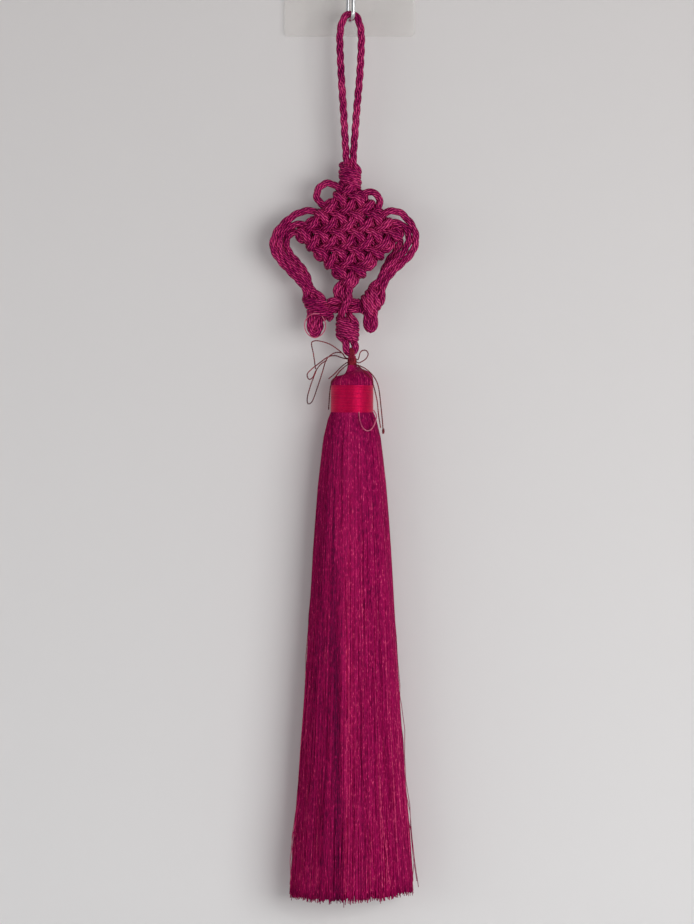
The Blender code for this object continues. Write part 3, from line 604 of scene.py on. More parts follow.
def hung_threads_tree():
    """Hangs threads through a round section, whose half width, depth and height a guide gives."""
    tree, given, output = new_geometry_tree(
        "hung threads", Int=("Threads", "Points", "Seed"), Object=("Guide",), Vector=("Middle",),
        Float=("Inner Share", "Thread Diameter", "Lean From", "Lean", "Wander", "Fold", "Ragged",
               "Crowding", "End Taper", "Side Lift"), Material=("Material",))
    line = add_node(tree, "GeometryNodeCurvePrimitiveLine").outputs[0]
    even = add_node(tree, "GeometryNodeResampleCurve", {"Curve": line, "Count": given["Points"]},
                    mode="COUNT").outputs[0]
    threads, number = copied(even, given["Threads"])
    run = add_node(tree, "GeometryNodeSplineParameter").outputs
    part = calc("POWER", run["Factor"], given["Crowding"])
    guide = add_node(tree, "GeometryNodeObjectInfo", {"Object": given["Guide"]}).outputs["Geometry"]
    rise = add_node(tree, "GeometryNodeInputRadius").outputs[0]
    sample = add_node(tree, "GeometryNodeSampleCurve",
                      {"Curves": guide, "Value": rise, "Factor": part},
                      mode="FACTOR", use_all_curves=False).outputs
    width, depth, height = separate(sample["Position"])

    share = calc("DIVIDE", plus(number, 0.5), given["Threads"])
    inner = times(given["Inner Share"], given["Inner Share"])
    reach = calc("SQRT", plus(inner, times(share, minus(1.0, inner))))
    turn = times(number, GOLDEN_ANGLE)
    ring = combine(tree, calc("COSINE", turn), calc("SINE", turn), 0.0)
    waves = noise(combine(tree, times(number, WAVES_APART), times(part, WAVES_DOWN), given["Seed"]),
                  1.0, 2.0, "Color")
    wander = scaled(off_middle(waves), times(given["Wander"], part))
    way_down = combine(tree, given["Seed"], 0.0, times(part, FOLDS_DOWN))
    folds = noise(calc_vector("ADD", ring, way_down), FOLDS_ROUND, 1.0)
    fold_size = times(given["Fold"], calc("MINIMUM", times(part, FOLDS_GROWTH), 1.0))
    fold = calc("MULTIPLY_ADD", fold_size, minus(folds, NOISE_MIDDLE), 1.0)
    aside, forward, _ = separate(calc_vector("ADD", scaled(ring, times(reach, fold)), wander))
    across = times(aside, width)

    random = add_node(tree, "FunctionNodeRandomValue", {"ID": number, "Seed": given["Seed"]},
                      data_type="FLOAT")
    tone = next(socket for socket in random.outputs if socket.enabled)
    end = times(times(minus(tone, 0.5), part), given["Ragged"])
    height = plus(height, plus(times(across, sample["Value"]), end))
    from_middle = plus(aside, SIDE_LIFT_SHIFT)
    lift = times(times(from_middle, from_middle),
                 times(given["Side Lift"], calc("POWER", part, LIFT_POWER)))
    height = plus(height, lift)
    below = calc("MAXIMUM", minus(given["Lean From"], height), 0.0)
    depth = minus(times(forward, depth), times(below, given["Lean"]))
    place = calc_vector("ADD", given["Middle"], combine(tree, across, depth, height))
    hung = add_node(tree, "GeometryNodeSetPosition",
                    {"Geometry": threads, "Position": place}).outputs[0]

    taper = minus(1.0, times(given["End Taper"], calc("POWER", part, TAPER_POWER)))
    hung = add_node(tree, "GeometryNodeSetCurveRadius", {"Curve": hung, "Radius": taper}).outputs[0]
    hung = stored(hung, "tone", tone)
    hung = stored(hung, "along", part)
    radius = times(given["Thread Diameter"], 0.5)
    finish_tree(output, hung, round_profile(HUNG_SIDES, radius), given["Material"])
    return tree


def wound_thread_tree():
    """Winds one thread down a round form, each turn beside the last."""
    tree, given, output = new_geometry_tree(
        "wound thread", Vector=("Start",), Material=("Material",),
        Float=("Turns", "Radius", "Height", "Thread Diameter", "Unevenness"))
    spiral = add_node(tree, "GeometryNodeCurveSpiral", {
        "Resolution": TURN_POINTS, "Rotations": given["Turns"], "Start Radius": given["Radius"],
        "End Radius": given["Radius"], "Height": given["Height"]}).outputs[0]
    place = add_node(tree, "GeometryNodeInputPosition").outputs[0]
    run = add_node(tree, "GeometryNodeSplineParameter").outputs
    uneven = off_middle(noise(place, UNEVEN_SCALE, 1.0, "Color"))
    shift = scaled(uneven, given["Unevenness"])
    wound = add_node(tree, "GeometryNodeSetPosition", {
        "Geometry": spiral, "Offset": calc_vector("ADD", shift, given["Start"])}).outputs[0]
    wound = stored(wound, "along", calc("DIVIDE", run["Length"], MM))
    wound = stored(wound, "ply", times(run["Factor"], given["Turns"]))
    radius = times(given["Thread Diameter"], 0.5)
    finish_tree(output, wound, round_profile(TURN_SIDES, radius), given["Material"])
    return tree


def add_object(name, data):
    """A new object in the scene."""
    made = bpy.data.objects.new(name, data)
    bpy.context.scene.collection.objects.link(made)
    return made


def grow(name, tree, guide, values):
    """Runs a geometry tree on a mesh and returns what it makes as a plain object."""
    maker = add_object(name + "_maker", guide)
    modifier = maker.modifiers.new("grow", "NODES")
    modifier.node_group = tree
    for item in tree.interface.items_tree:
        if item.in_out == "INPUT" and item.name in values:
            modifier[item.identifier] = values[item.name]
    bpy.context.view_layer.update()
    graph = bpy.context.evaluated_depsgraph_get()
    mesh = bpy.data.meshes.new_from_object(maker.evaluated_get(graph))
    bpy.data.objects.remove(maker)
    return add_object(name, mesh)


def edge_guide(name, runs):
    """A mesh of bare edges. A run is its points and whether it closes."""
    vertices, edges = [], []
    for points, closed in runs:
        first = len(vertices)
        vertices += [tuple(point) for point in points]
        edges += [(first + index, first + index + 1) for index in range(len(points) - 1)]
        if closed:
            edges.append((len(vertices) - 1, first))
    mesh = bpy.data.meshes.new(name)
    mesh.from_pydata(vertices, edges, [])
    return mesh


def section_guide(name, rows):
    """A curve whose points hold half width, half depth and height, and the rise as their radius."""
    curve = bpy.data.curves.new(name, "CURVE")
    curve.dimensions = "3D"
    spline = curve.splines.new("POLY")
    spline.points.add(len(rows) - 1)
    for point, (half_width, half_depth, drop, rise) in zip(spline.points, rows):
        point.co = (half_width * MM, half_depth * MM, -drop * MM, 1.0)
        point.radius = rise
    return add_object(name, curve)


def ride_for(piece, slot, *nodes):
    """The piece rides on the hanging body and stands for the nodes, which it hides. The slot is not
    used.
    """
    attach(piece, BODY)
    if nodes:
        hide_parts(*nodes)


def new_material(name):
    """A material and its Principled shader."""
    made = bpy.data.materials.new(name)
    made.use_nodes = True
    return made, made.node_tree.nodes["Principled BSDF"]


def object_place(shader):
    """Where a point lies on its piece, in metres."""
    return add_node(shader.id_data, "ShaderNodeTexCoord").outputs["Object"]


def attribute(shader, name, result="Fac"):
    """A value that the geometry trees stored."""
    return add_node(shader.id_data, "ShaderNodeAttribute", attribute_name=name).outputs[result]


def stretched(place, scale, turn=(0.0, 0.0, 0.0)):
    """The place scaled and turned, so that a texture on it is drawn out."""
    inputs = {"Vector": place, "Scale": scale, "Rotation": turn}
    return add_node(place.id_data, "ShaderNodeMapping", inputs).outputs[0]


def ranged(value, low, high, to_low, to_high, fade="LINEAR"):
    """The value carried over from one range to another."""
    inputs = {"Value": value, "From Min": low, "From Max": high, "To Min": to_low,
              "To Max": to_high}
    return add_node(value.id_data, "ShaderNodeMapRange", inputs,
                    interpolation_type=fade).outputs[0]


def bump(height, strength, distance):
    """The normal that a relief gives."""
    inputs = {"Height": height, "Strength": strength, "Distance": distance}
    return add_node(height.id_data, "ShaderNodeBump", inputs).outputs[0]


def colour_ramp(value, stops):
    """The colour of a ramp at the value. A stop is its place and its colour."""
    node = add_node(value.id_data, "ShaderNodeValToRGB", {0: value})
    elements = node.color_ramp.elements
    while len(elements) < len(stops):
        elements.new(0.5)
    for element, (place, colour) in zip(elements, stops):
        element.position = place
        element.color = (*colour, 1.0)
    return node.outputs["Color"]


def fibre_group():
    """Fine fibres that run round a thread or ply: where they get a painted highlight, and their
    height.
    """
    tree = bpy.data.node_groups.new("fine fibres", "ShaderNodeTree")
    for label in ("Fibres", "Pitch", "Fleck Size"):
        tree.interface.new_socket(label, in_out="INPUT", socket_type="NodeSocketFloat")
    for label in ("Light", "Height", "Fleck"):
        tree.interface.new_socket(label, in_out="OUTPUT", socket_type="NodeSocketFloat")
    start = tree.nodes.new("NodeGroupInput")
    given = start.outputs
    x, y, _ = separate(attribute(start, "around", "Vector"))
    lines = times(calc("ARCTAN2", y, x), given["Fibres"])
    phase = plus(lines, times(attribute(start, "along"), calc("DIVIDE", math.tau, given["Pitch"])))
    wave = calc("MULTIPLY_ADD", calc("SINE", phase), 0.5, 0.5)
    flecks = noise(object_place(start), calc("DIVIDE", 1.0, given["Fleck Size"]), 3.0)
    fill(tree.nodes.new("NodeGroupOutput"),
         {"Light": times(wave, flecks), "Height": wave, "Fleck": flecks})
    return tree


def fibre_values(shader, fibres, count, pitch, fleck_size):
    """What the fibre group gives, for a pitch in millimetres and a fleck size in metres."""
    inputs = {"Fibres": count, "Pitch": pitch, "Fleck Size": fleck_size}
    return add_node(shader.id_data, "ShaderNodeGroup", inputs, node_tree=fibres).outputs


def cord_material(fibres):
    """Satin cord: fine fibres across each ply, painted paler in flecks where they would catch the
    light.
    """
    made, shader = new_material("crimson twisted cord")
    fibre = fibre_values(shader, fibres, 5.0, 2.0, 0.001)
    cloud = noise(object_place(shader), 160.0, 2.0)
    # Painted light: the fibres' highlights lift the colour and the dark between them is painted
    # shade; the cloud is the cord's own tone.
    colour = colour_ramp(plus(times(fibre["Light"], 0.95), times(cloud, 0.53)), [
        (0.20, (0.075, 0.001, 0.031)),
        (0.40, (0.20, 0.002, 0.062)),
        (0.60, (0.41, 0.005, 0.112)),
        (0.84, (0.80, 0.085, 0.25)),
    ])
    fill(shader, {
        "Base Color": colour, "Roughness": calc("MULTIPLY_ADD", fibre["Fleck"], 0.3, 0.34),
        "Normal": bump(fibre["Height"], 0.7, 0.00022), "Metallic": 0.3, "Specular IOR Level": 0.08})
    return made


def painted_fold_shade(place):
    """How dark the skirt's painted fold shade is: it slopes, and spreads from below its top."""
    across, _, height = separate(place)
    middle = calc("MULTIPLY_ADD", height, FOLD_SLOPE, FOLD_ACROSS * MM)
    from_fold = calc("ABSOLUTE", minus(across, middle))
    spread = times(minus(-FOLD_TOP_DROP * MM, height), FOLD_SPREAD)
    reach = calc("MAXIMUM", spread, FOLD_LEAST * MM)
    return ranged(from_fold, 0.0, reach, FOLD_PAINTED_SHADE, 0.0, "SMOOTHSTEP")


def silk_material(name, lift):
    """Loose silk threads with their own tone and flecks, painted glints and highlights, and a
    fold's painted shade.
    """
    made, shader = new_material(name)
    tone = attribute(shader, "tone")
    place = object_place(shader)
    flecks = noise(stretched(place, (1.0, 1.0, 0.34)), 1150.0, 2.0)
    shades = noise(stretched(place, (1.0, 0.6, 0.03)), 110.0, 2.0)
    # Painted glints: sparse bright specks where the threads would catch the light.
    painted_glints = noise(stretched(place, (1.0, 1.0, 0.3)), 2300.0, 1.0)
    # The lift paints the whole material lighter; the head's copy uses it as painted light.
    base = plus(calc("MULTIPLY_ADD", tone, 0.13, lift),
                plus(times(flecks, 0.5), times(shades, 0.40)))
    # Painted highlight: the glints, and thin light lines on the palest threads.
    light = plus(ranged(painted_glints, 0.55, 0.75, 0.0, 0.28), ranged(tone, 0.9, 0.96, 0.0, 0.13))
    # Painted shade: the fold's darker stripe is taken off the colour.
    colour = colour_ramp(minus(plus(base, light), painted_fold_shade(place)), [
        (0.34, (0.13, 0.001, 0.044)),
        (0.50, (0.31, 0.002, 0.076)),
        (0.66, (0.46, 0.004, 0.108)),
        (0.94, (0.95, 0.11, 0.27)),
    ])
    fill(shader, {
        "Base Color": colour, "Roughness": calc("MULTIPLY_ADD", flecks, 0.3, 0.34),
        "Normal": bump(flecks, 0.5, 0.0002), "Metallic": 0.25, "Specular IOR Level": 0.07})
    return made


def satin_material(fibres):
    """Red satin thread, wound flat: fine lines round the band, painted as highlights, and a strong
    red shine.
    """
    made, shader = new_material("red satin thread")
    fibre = fibre_values(shader, fibres, 5.0, 9.0, 0.0016)
    bands = noise(combine(shader.id_data, attribute(shader, "ply"), 0.0, 0.0), 0.9, 2.0)
    # The fibres' lines are painted highlights; the bands are tone that differs from turn to turn.
    colour = colour_ramp(plus(times(fibre["Light"], 0.5), times(bands, 0.6)), [
        (0.20, (0.44, 0.003, 0.068)),
        (0.50, (0.78, 0.007, 0.105)),
        (0.76, (1.00, 0.022, 0.130)),
    ])
    fill(shader, {
        "Base Color": colour, "Roughness": calc("MULTIPLY_ADD", fibre["Fleck"], 0.16, 0.28),
        "Normal": bump(fibre["Height"], 0.3, 0.00005), "Metallic": 0.7, "Specular IOR Level": 0.15})
    return made


def thread_material(fibres, name, dark, light):
    """Two-ply tie thread, which turns paler in places, with painted highlights along its fibres."""
    made, shader = new_material(name)
    fibre = fibre_values(shader, fibres, 3.0, 0.7, 0.006)
    middle = tuple((low + high) / 2 for low, high in zip(dark, light))
    # The fibres' painted highlights, with the thread's own paler patches.
    mixed = calc("MULTIPLY_ADD", fibre["Light"], 0.3, times(fibre["Fleck"], 0.8))
    fill(shader, {
        "Base Color": colour_ramp(mixed, [(0.36, dark), (0.54, middle), (0.72, light)]),
        "Roughness": calc("MULTIPLY_ADD", fibre["Fleck"], 0.3, 0.35),
        "Normal": bump(fibre["Height"], 0.3, 0.00005), "Specular IOR Level": 0.1})
    return made


def steel_material():
    """Bright drawn steel with fine lines and a few dull places."""
    made, shader = new_material("drawn steel")
    place = object_place(shader)
    lines = noise(stretched(place, (1.0, 1.0, 0.05)), 4200.0, 2.0)
    dull = noise(place, 260.0, 4.0)
    fill(shader, {
        "Base Color": colour_ramp(dull, [(0.30, (0.50, 0.50, 0.51)), (0.70, (0.72, 0.72, 0.73))]),
        "Roughness": plus(times(lines, 0.16), times(dull, 0.22)),
        "Normal": bump(lines, 0.1, 0.00002), "Metallic": 1.0})
    return made


def clear_plastic_material():
    """Clear, slightly cloudy plastic sheet with faint scuffs."""
    made, shader = new_material("clear plastic sheet")
    place = object_place(shader)
    cloud = noise(place, 70.0, 4.0)
    scuffs = noise(stretched(place, (1.0, 1.0, 0.12), (0.0, 0.6, 0.0)), 900.0, 3.0)
    fill(shader, {
        "Base Color": colour_ramp(cloud, [(0.30, (0.82, 0.79, 0.75)), (0.70, (0.92, 0.88, 0.85))]),
        "Alpha": plus(0.14, times(cloud, 0.16)),
        "Roughness": calc("MULTIPLY_ADD", scuffs, 0.22, 0.02),
        "Normal": bump(scuffs, 0.08, 0.00005), "Coat Weight": 0.6})
    return made


def stage_material(name, colour, painted_shade_colour=None):
    """A matt pale surface that is seen through from behind, perhaps with painted shade at its top.
    """
    made, shader = new_material(name)
    tree = shader.id_data
    place = object_place(shader)
    if painted_shade_colour:
        # Painted shade: the wall darkens towards its top.
        rise = ranged(separate(place)["Z"], SHADE_FROM, SHADE_TO, 0.0, 1.0)
        base = colour_ramp(rise, [(0.0, colour), (1.0, painted_shade_colour)])
    else:
        base = (*colour, 1.0)
    fill(shader, {"Base Color": base, "Normal": bump(noise(place, 900.0, 3.0), 0.05, 0.0002),
                  "Roughness": 0.9})
    back = add_node(tree, "ShaderNodeNewGeometry").outputs["Backfacing"]
    clear = add_node(tree, "ShaderNodeBsdfTransparent").outputs[0]
    mixed = add_node(tree, "ShaderNodeMixShader", {0: back, 1: shader.outputs[0], 2: clear})
    fill(tree.nodes["Material Output"], {"Surface": mixed.outputs[0]})
    return made


def make_camera():
    """The camera, level and square to the wall at the middle of the photo's frame."""
    data = bpy.data.cameras.new("camera")
    data.sensor_width = SENSOR_WIDTH
    data.lens = SENSOR_WIDTH * CAMERA_DISTANCE / FRAME_HEIGHT
    data.clip_start = NEAREST_SEEN
    camera = add_object("camera", data)
    camera.location = (FRAME_MIDDLE[0], -HANG_DEPTH * MM - CAMERA_DISTANCE, FRAME_MIDDLE[1])
    camera.rotation_euler = (math.radians(90), 0.0, 0.0)
    bpy.context.scene.camera = camera


def tied_in(name, route):
    """The route with its caught ends drawn on to the turns round the neck or under the band."""
    if name == "tie_front_loop":
        return [FRONT_LOOP_CAUGHT[0]] + route + [FRONT_LOOP_CAUGHT[1]]
    if name == "tail_ring":
        return route
    across, forward, drop = route[0]
    caught = (TASSEL_ACROSS + (across - TASSEL_ACROSS) * CAUGHT_SHARE, forward * CAUGHT_SHARE,
              min(max(drop, WRAP_DROPS[0]), WRAP_DROPS[1]))
    return [caught] + route + ([caught] if name == "tie_loop_right" else [])


def thread_values(material):
    """What the laid rope tree needs for the two-ply tie thread."""
    return {"Plies": 2, "Rope Diameter": THREAD_DIAMETER * MM, "Lay Length": THREAD_LAY * MM,
            "Step": THREAD_STEP * MM, "Sides": THREAD_SIDES, "Ply Share": THREAD_PLY_SHARE,
            "Ply Reach": THREAD_PLY_REACH, "Material": material}


def tie_thread(name, rope, points, material):
    """One run of the two-ply tie thread."""
    return grow(name, rope, edge_guide(name, [(points, False)]), thread_values(material))


def end_knot_route(route):
    """A coil round the last stretch of a route, widest in its middle: the thread's end knot."""
    across, forward, drop = route[-1]
    points = []
    for step in range(END_KNOT_STEPS):
        part = step / (END_KNOT_STEPS - 1)
        angle = math.tau * END_KNOT_TURNS * part
        reach = END_KNOT_RADIUS * math.sin(math.pi * (1.0 + 3.0 * part) / 5.0)
        points.append(world((across + reach * math.cos(angle), forward + reach * math.sin(angle),
                             drop - END_KNOT_HEIGHT * (1.0 - part))))
    return points


def make_tie_threads(rope, materials):
    """The loops and ends of the tie thread, and the knot at the end of one."""
    end_knot = tie_thread("thread_end_knot", rope, end_knot_route(TIE_ROUTES["tie_end_right_long"]),
                          materials["maroon thread"])
    ride_for(end_knot, "maroon_thread")
    for name, route in TIE_ROUTES.items():
        points = smooth_route([world(point) for point in tied_in(name, route)], THREAD_STEP * MM)
        material = materials["rose thread" if name in LOOSE_RINGS else "maroon thread"]
        piece = tie_thread("thread_" + name, rope, points, material)
        ride_for(piece, "maroon_thread", name)


def make_strands_over_loop(rope, material):
    """The tie's strands through the end loop's slit, which spread as they come down its front."""
    middle = sum(OVER_LOOP_STARTS) / len(OVER_LOOP_STARTS)
    runs = []
    for start in OVER_LOOP_STARTS:
        route = []
        for step, (across, forward, drop) in enumerate(OVER_LOOP):
            spread = 1.0 + (OVER_LOOP_SPREAD - 1.0) * step / (len(OVER_LOOP) - 1)
            route.append(world((middle + (start - middle) * spread + across, forward, drop)))
        runs.append((smooth_route(route, THREAD_STEP * MM), False))
    piece = grow("tie_strands_over_loop", rope, edge_guide("tie_strands_over_loop", runs),
                 thread_values(material))
    ride_for(piece, "maroon_thread", "tie_wrap")


def in_knot(place, side, forward, down):
    """A point in cord diameters from a knot's middle, as across, forward and drop."""
    across, drop, roll, height = place
    turn = math.radians(roll)
    side = side * CORD_DIAMETER
    down = down * CORD_DIAMETER * height
    return (across + side * math.cos(turn) + down * math.sin(turn), forward * CORD_DIAMETER,
            drop + down * math.cos(turn) - side * math.sin(turn))


def knotted_pair(place):
    """The two strands of a wrapped knot from the way in to the way out, half a turn apart."""
    strands = []
    for way_in in (-1, 1):
        strand = [in_knot(place, way_in * KNOT_LEAD_ASIDE, 0.0, -KNOT_LEAD_REACH)]
        for step in range(KNOT_STEPS + 1):
            part = step / KNOT_STEPS
            angle = math.pi * (way_in - 1) / 2 - math.tau * KNOT_TURNS * part
            side = KNOT_REACH * math.cos(angle)
            strand.append(in_knot(place, side, KNOT_REACH * math.sin(angle),
                                  (2 * part - 1) * KNOT_RISE + side * KNOT_SLANT))
        strand.append(in_knot(place, -way_in * KNOT_LEAD_ASIDE, 0.0, KNOT_LEAD_REACH))
        strands.append(strand)
    return strands


def knot_core(place):
    """The straight run of cord that fills a wrapped knot."""
    return [in_knot(place, 0.0, 0.0, -KNOT_CORE_REACH), in_knot(place, 0.0, 0.0, KNOT_CORE_REACH)]


def lattice_loop(line, rising):
    """One pair of lines of the lattice, joined at both ends: a closed run of points.

    A crossing lies at the whole steps i and j whose sum is odd. A rising pair is outside at the
    crossings with an even i, and a falling pair at those with an odd i. Outside, one line of the
    pair is in front and the other behind. Elsewhere both lie side by side in the middle.
    """
    front = []
    for along in range(-LATTICE_REACH, LATTICE_REACH + 1, 2):
        outside = ((along + line) // 2 % 2 == 0) == rising
        for offset in (-BEND_OFFSET, BEND_OFFSET):
            place = along + offset
            ramp = 1.0 - BEND_OFFSET / 2 if abs(place) < LATTICE_REACH else 1.0
            layer = ramp if outside else 1.0 - ramp
            front.append((place, layer, 1.0 - layer))
    start, end = [(math.copysign(LATTICE_REACH + TURN_REACH, place),
                   layer * TURN_WIDTH, sideways * TURN_WIDTH)
                  for place, layer, sideways in (front[0], front[-1])]
    line_of_pair = [start] + front + [end]
    other_of_pair = [(place, -layer, -sideways) for place, layer, sideways in line_of_pair]
    points = []
    for place, layer, sideways in line_of_pair + other_of_pair[::-1]:
        i, j = (place + line) / 2, (place - line) / 2
        if not rising:
            j = -j
        shift = sideways * PAIR_OFFSET * CORD_DIAMETER / math.sqrt(2)
        across = i * LATTICE_STEP - shift
        rise = j * LATTICE_STEP + (shift if rising else -shift)
        points.append((across, layer * FRONT_LAYER * CORD_DIAMETER, LATTICE_DROP - rise))
    return points


def make_cord(name, rope, routes, diameter, material, closed=False):
    """A stretch of the laid cord along its routes."""
    runs = [(smooth_route([world(point) for point in route], CORD_STEP * MM, closed), closed)
            for route in routes]
    piece = grow(name, rope, edge_guide(name, runs), {
        "Plies": 3, "Rope Diameter": diameter * MM, "Lay Length": CORD_LAY * MM,
        "Step": CORD_STEP * MM, "Sides": CORD_SIDES, "Ply Share": PLY_SHARE,
        "Ply Reach": PLY_REACH, "Material": material})
    ride_for(piece, "crimson_cord", "knotted_cord")


def make_knotted_cord(rope, material):
    """The cord from its hanging loop down to the loop that carries the tassel."""
    upper_first, upper_second = knotted_pair(UPPER_KNOT)
    left_first, left_second = knotted_pair(LEFT_KNOT)
    right_first, right_second = knotted_pair(RIGHT_KNOT)
    lower_first, lower_second = knotted_pair(LOWER_KNOT)
    make_cord("cord_hanging_loop", rope, [upper_first[::-1] + HANGING_LOOP + upper_second],
              LOOP_CORD, material)
    make_cord("cord_ears_and_side_loops", rope, [
        LEFT_EAR,
        RIGHT_EAR,
        LEFT_OUTER + left_first[1:],
        LEFT_INNER + left_second[1:],
        LEFT_BACK,
        RIGHT_OUTER + right_second[1:],
        RIGHT_INNER + right_first[1:],
        RIGHT_BACK,
    ], KNOT_CORD, material)
    make_cord("cord_links_and_tails", rope, [
        LEFT_LINK_UPPER,
        LEFT_LINK_LOWER,
        LINK_BACK,
        LEFT_TAIL,
        LEFT_TAIL_CORE,
        RIGHT_TAIL,
        RIGHT_TAIL_CORE,
        STEM_FRONT + lower_first[1:-1] + END_LOOP + lower_second[-2:0:-1] + STEM_BACK[::-1],
        STEM_MIDDLE,
        *[knot_core(place) for place in (UPPER_KNOT, LEFT_KNOT, RIGHT_KNOT, LOWER_KNOT)],
    ], LINK_CORD, material)
    lines = range(-LATTICE_REACH, LATTICE_REACH + 1, 2)
    make_cord("cord_lattice_knot", rope, [lattice_loop(line, rising) for rising in (True, False)
                                          for line in lines], LATTICE_CORD, material, closed=True)


def lofted(name, rings, material):
    """A closed body through rings of points in metres, with sharp edges where it turns sharply."""
    shape = bmesh.new()
    rows = [[shape.verts.new(point) for point in ring] for ring in rings]
    for upper, lower in zip(rows, rows[1:]):
        for step in range(len(upper)):
            after = (step + 1) % len(upper)
            shape.faces.new((upper[step], lower[step], lower[after], upper[after]))
    shape.faces.new(rows[0])
    shape.faces.new(rows[-1])
    bmesh.ops.recalc_face_normals(shape, faces=shape.faces)
    mesh = bpy.data.meshes.new(name)
    shape.to_mesh(mesh)
    shape.free()
    mesh.shade_smooth()
    mesh.set_sharp_from_angle(angle=SHARP_ANGLE)
    mesh.materials.append(material)
    return add_object(name, mesh)


def make_inner_body(name, rows, share, material):
    """The closed body of threads inside the outer ones, from rows like a section guide's."""
    rings = []
    for half_width, half_depth, drop, rise in rows:
        lean = max(0.0, drop - SKIRT_GUIDE[0][2]) * SKIRT_LEAN
        ring = []
        for cosine, sine in circle_points(BODY_STEPS):
            across = half_width * share * cosine
            ring.append(world((TASSEL_ACROSS + across, lean - half_depth * share * sine,
                               drop - rise * across)))
        rings.append(ring)
    ride_for(lofted(name, rings, material), "crimson_silk", "tassel")


def shorter(rows, less):
    """The rows with the last one higher by so much."""
    half_width, half_depth, drop, rise = rows[-1]
    return rows[:-1] + [(half_width, half_depth, drop - less, rise)]


def make_tassel(threads, skirt_material, head_material):
    """The head and the skirt: threads over a closed inner body."""
    head_rows = [(radius, radius, drop, rise) for radius, drop, rise in HEAD_GUIDE]
    skirt_rows = [(*row, 0.0) for row in SKIRT_GUIDE]
    head_guide = section_guide("head_guide", head_rows)
    skirt_guide = section_guide("skirt_guide", skirt_rows)
    inside_guide = section_guide("inside_guide", shorter(skirt_rows, INSIDE_SHORTER))
    apart = {"tassel_skirt_inside": (inside_guide, SIDE_LIFT, skirt_material),
             "tassel_head_threads": (head_guide, 0.0, head_material)}
    for name, (count, points, inner, thickness, wander, fold, ragged, crowding, taper,
               seed) in TASSEL_THREADS.items():
        guide, lift, material = apart.get(name, (skirt_guide, SIDE_LIFT, skirt_material))
        piece = grow(name, threads, edge_guide(name, []), {
            "Threads": count, "Points": points, "Inner Share": inner,
            "Thread Diameter": thickness * MM, "Guide": guide,
            "Middle": world((TASSEL_ACROSS, 0.0, 0.0)), "Lean From": -SKIRT_GUIDE[0][2] * MM,
            "Lean": SKIRT_LEAN, "Wander": wander, "Fold": fold, "Ragged": ragged * MM,
            "Crowding": crowding, "End Taper": taper, "Side Lift": lift * MM, "Seed": seed,
            "Material": material})
        ride_for(piece, "crimson_silk", "tassel")
    for guide in (head_guide, skirt_guide, inside_guide):
        bpy.data.objects.remove(guide)
    make_inner_body("tassel_head_inside", head_rows, HEAD_BODY_SHARE, head_material)
    make_inner_body("tassel_skirt_core", shorter(skirt_rows, CORE_SHORTER), SKIRT_CORE_SHARE,
                    skirt_material)


def make_bindings(winding, materials):
    """The satin thread wound round the head, and the tie thread wound round the neck."""
    for name, (node, slot, material, thickness, unevenness, share) in BINDINGS.items():
        thread = thickness * MM
        low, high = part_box(node)
        middle = (low + high) / 2
        height = high.z - low.z - thread
        piece = grow(name, winding, edge_guide(name, []), {
            "Turns": height / (thread * TURN_PITCH), "Height": height,
            "Radius": (high.x - low.x) / 2 * share - thread / 2,
            "Start": (middle.x, middle.y, low.z + thread / 2), "Thread Diameter": thread,
            "Unevenness": unevenness * MM, "Material": materials[material]})
        ride_for(piece, slot, node)


def pad_ring(inset, from_wall):
    """The pad's outline with rounded corners, drawn in by the inset."""
    half = PAD_SIDE / 2 - PAD_CORNER
    radius = PAD_CORNER - inset
    steps = 8
    ring = []
    for corner, (side, level) in enumerate([(1, 1), (-1, 1), (-1, -1), (1, -1)]):
        for step in range(steps + 1):
            angle = math.radians(90 * (corner + step / steps))
            ring.append(Vector((side * half + radius * math.cos(angle), -from_wall,
                                level * half + radius * math.sin(angle))) * MM)
    return ring


def wire_rings():
    """Rings round the wire: down from the holder, round the bend and up to its rounded tip."""
    spread = HOOK_LEG_SPREAD / 2
    radius = WIRE_DIAMETER / 2
    bend_drop = HOOK_BOTTOM_DROP - radius - spread
    steps = 32
    rows = [(-spread, HOLDER_RADIUS + PIECE_GAP, 0.0, 1.0)]
    for step in range(steps + 1):
        angle = math.pi * step / steps
        rows.append((-spread * math.cos(angle), bend_drop + spread * math.sin(angle), angle, 1.0))
    rows.append((spread, HOOK_TIP_DROP, math.pi, 1.0))
    for share, beyond in WIRE_TIP:
        rows.append((spread, HOOK_TIP_DROP - beyond * radius, math.pi, share))
    rings = []
    for forward, drop, angle, share in rows:
        ring = []
        for cosine, sine in circle_points(steps):
            sideways, outward = radius * share * cosine, radius * share * sine
            reach = forward - outward * math.cos(angle)
            aside = reach * math.sin(HOOK_TURN) + sideways * math.cos(HOOK_TURN)
            ring.append(world((HOOK_MIDDLE + aside,
                               reach * math.cos(HOOK_TURN) - sideways * math.sin(HOOK_TURN),
                               drop + outward * math.sin(angle))))
        rings.append(ring)
    return rings


def make_hook(materials):
    """The clear pad, the turned holder and the bent wire."""
    pad = [pad_ring(*row) for row in PAD_EDGE]
    ride_for(lofted("hook_pad_sheet", pad, materials["clear plastic"]), "clear_plastic", "hook_pad")
    holder = [[Vector((radius * cosine, -from_wall, radius * sine)) * MM
               for cosine, sine in circle_points(BODY_STEPS)]
              for radius, from_wall in HOLDER_PROFILE]
    ride_for(lofted("hook_holder_turned", holder, materials["steel"]), "steel", "hook_holder")
    ride_for(lofted("hook_wire_bent", wire_rings(), materials["steel"]), "steel", "hook_wire")


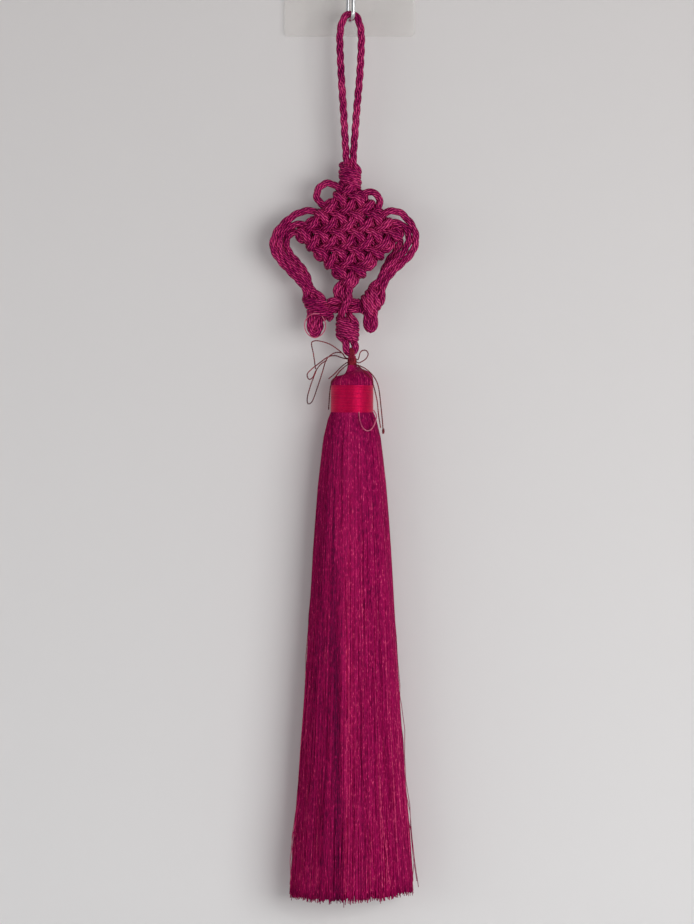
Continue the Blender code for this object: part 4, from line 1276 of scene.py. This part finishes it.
def make_stage():
    """The pale wall that the hook sticks to, and a pale floor, both seen through from behind."""
    for name, material, (near, low), (far, high) in (
            ("backdrop", stage_material("pale wall", WALL_COLOUR, WALL_TOP_PAINTED_SHADE_COLOUR),
             (WALL_BEHIND, FLOOR_LEVEL), (WALL_BEHIND, WALL_TOP)),
            ("floor", stage_material("pale floor", FLOOR_COLOUR),
             (FLOOR_FRONT, FLOOR_LEVEL), (WALL_BEHIND, FLOOR_LEVEL))):
        mesh = bpy.data.meshes.new(name)
        mesh.from_pydata([(-STAGE_REACH, near, low), (STAGE_REACH, near, low),
                          (STAGE_REACH, far, high), (-STAGE_REACH, far, high)], [], [(0, 1, 2, 3)])
        mesh.materials.append(material)
        add_object(name, mesh)


def make_lights():
    """Soft light from the upper right, with pale light all round."""
    for name, (place, width, height, power) in LIGHTS.items():
        data = bpy.data.lights.new(name, "AREA")
        data.energy = power
        data.shape = "RECTANGLE"
        data.size = width
        data.size_y = height
        lamp = add_object(name, data)
        lamp.location = place
        aim = Vector(LIGHTS_AIM) - lamp.location
        lamp.rotation_euler = aim.to_track_quat("-Z", "Y").to_euler()
    surroundings = bpy.data.worlds.new("pale surroundings")
    surroundings.use_nodes = True
    fill(surroundings.node_tree.nodes["Background"],
         {"Color": SURROUNDINGS_COLOUR, "Strength": SURROUNDINGS_STRENGTH})
    bpy.context.scene.world = surroundings
    bpy.context.scene.view_settings.view_transform = "Standard"


def build():
    """Makes every piece."""
    make_camera()
    fibres = fibre_group()
    materials = {
        "cord": cord_material(fibres),
        "skirt silk": silk_material("crimson silk thread", 0.0),
        # The head's silk is a copy lifted lighter: painted light for the dome, whose threads face
        # up and get less of the lamps' light.
        "head silk painted lighter": silk_material("crimson silk thread of the head, painted lighter", 0.10),
        "red satin": satin_material(fibres),
        "maroon thread": thread_material(fibres, "maroon tie thread", (0.075, 0.006, 0.013),
                                         (0.36, 0.030, 0.045)),
        "rust thread": thread_material(fibres, "rust tie thread", (0.20, 0.008, 0.03),
                                       (0.50, 0.05, 0.06)),
        "rose thread": thread_material(fibres, "rose tie thread", (0.42, 0.05, 0.13),
                                       (0.80, 0.24, 0.34)),
        "steel": steel_material(),
        "clear plastic": clear_plastic_material(),
    }
    rope = laid_rope_tree()
    make_tie_threads(rope, materials)
    make_strands_over_loop(rope, materials["rust thread"])
    make_knotted_cord(rope, materials["cord"])
    make_tassel(hung_threads_tree(), materials["skirt silk"], materials["head silk painted lighter"])
    make_bindings(wound_thread_tree(), materials)
    make_hook(materials)
    make_stage()
    make_lights()


build()
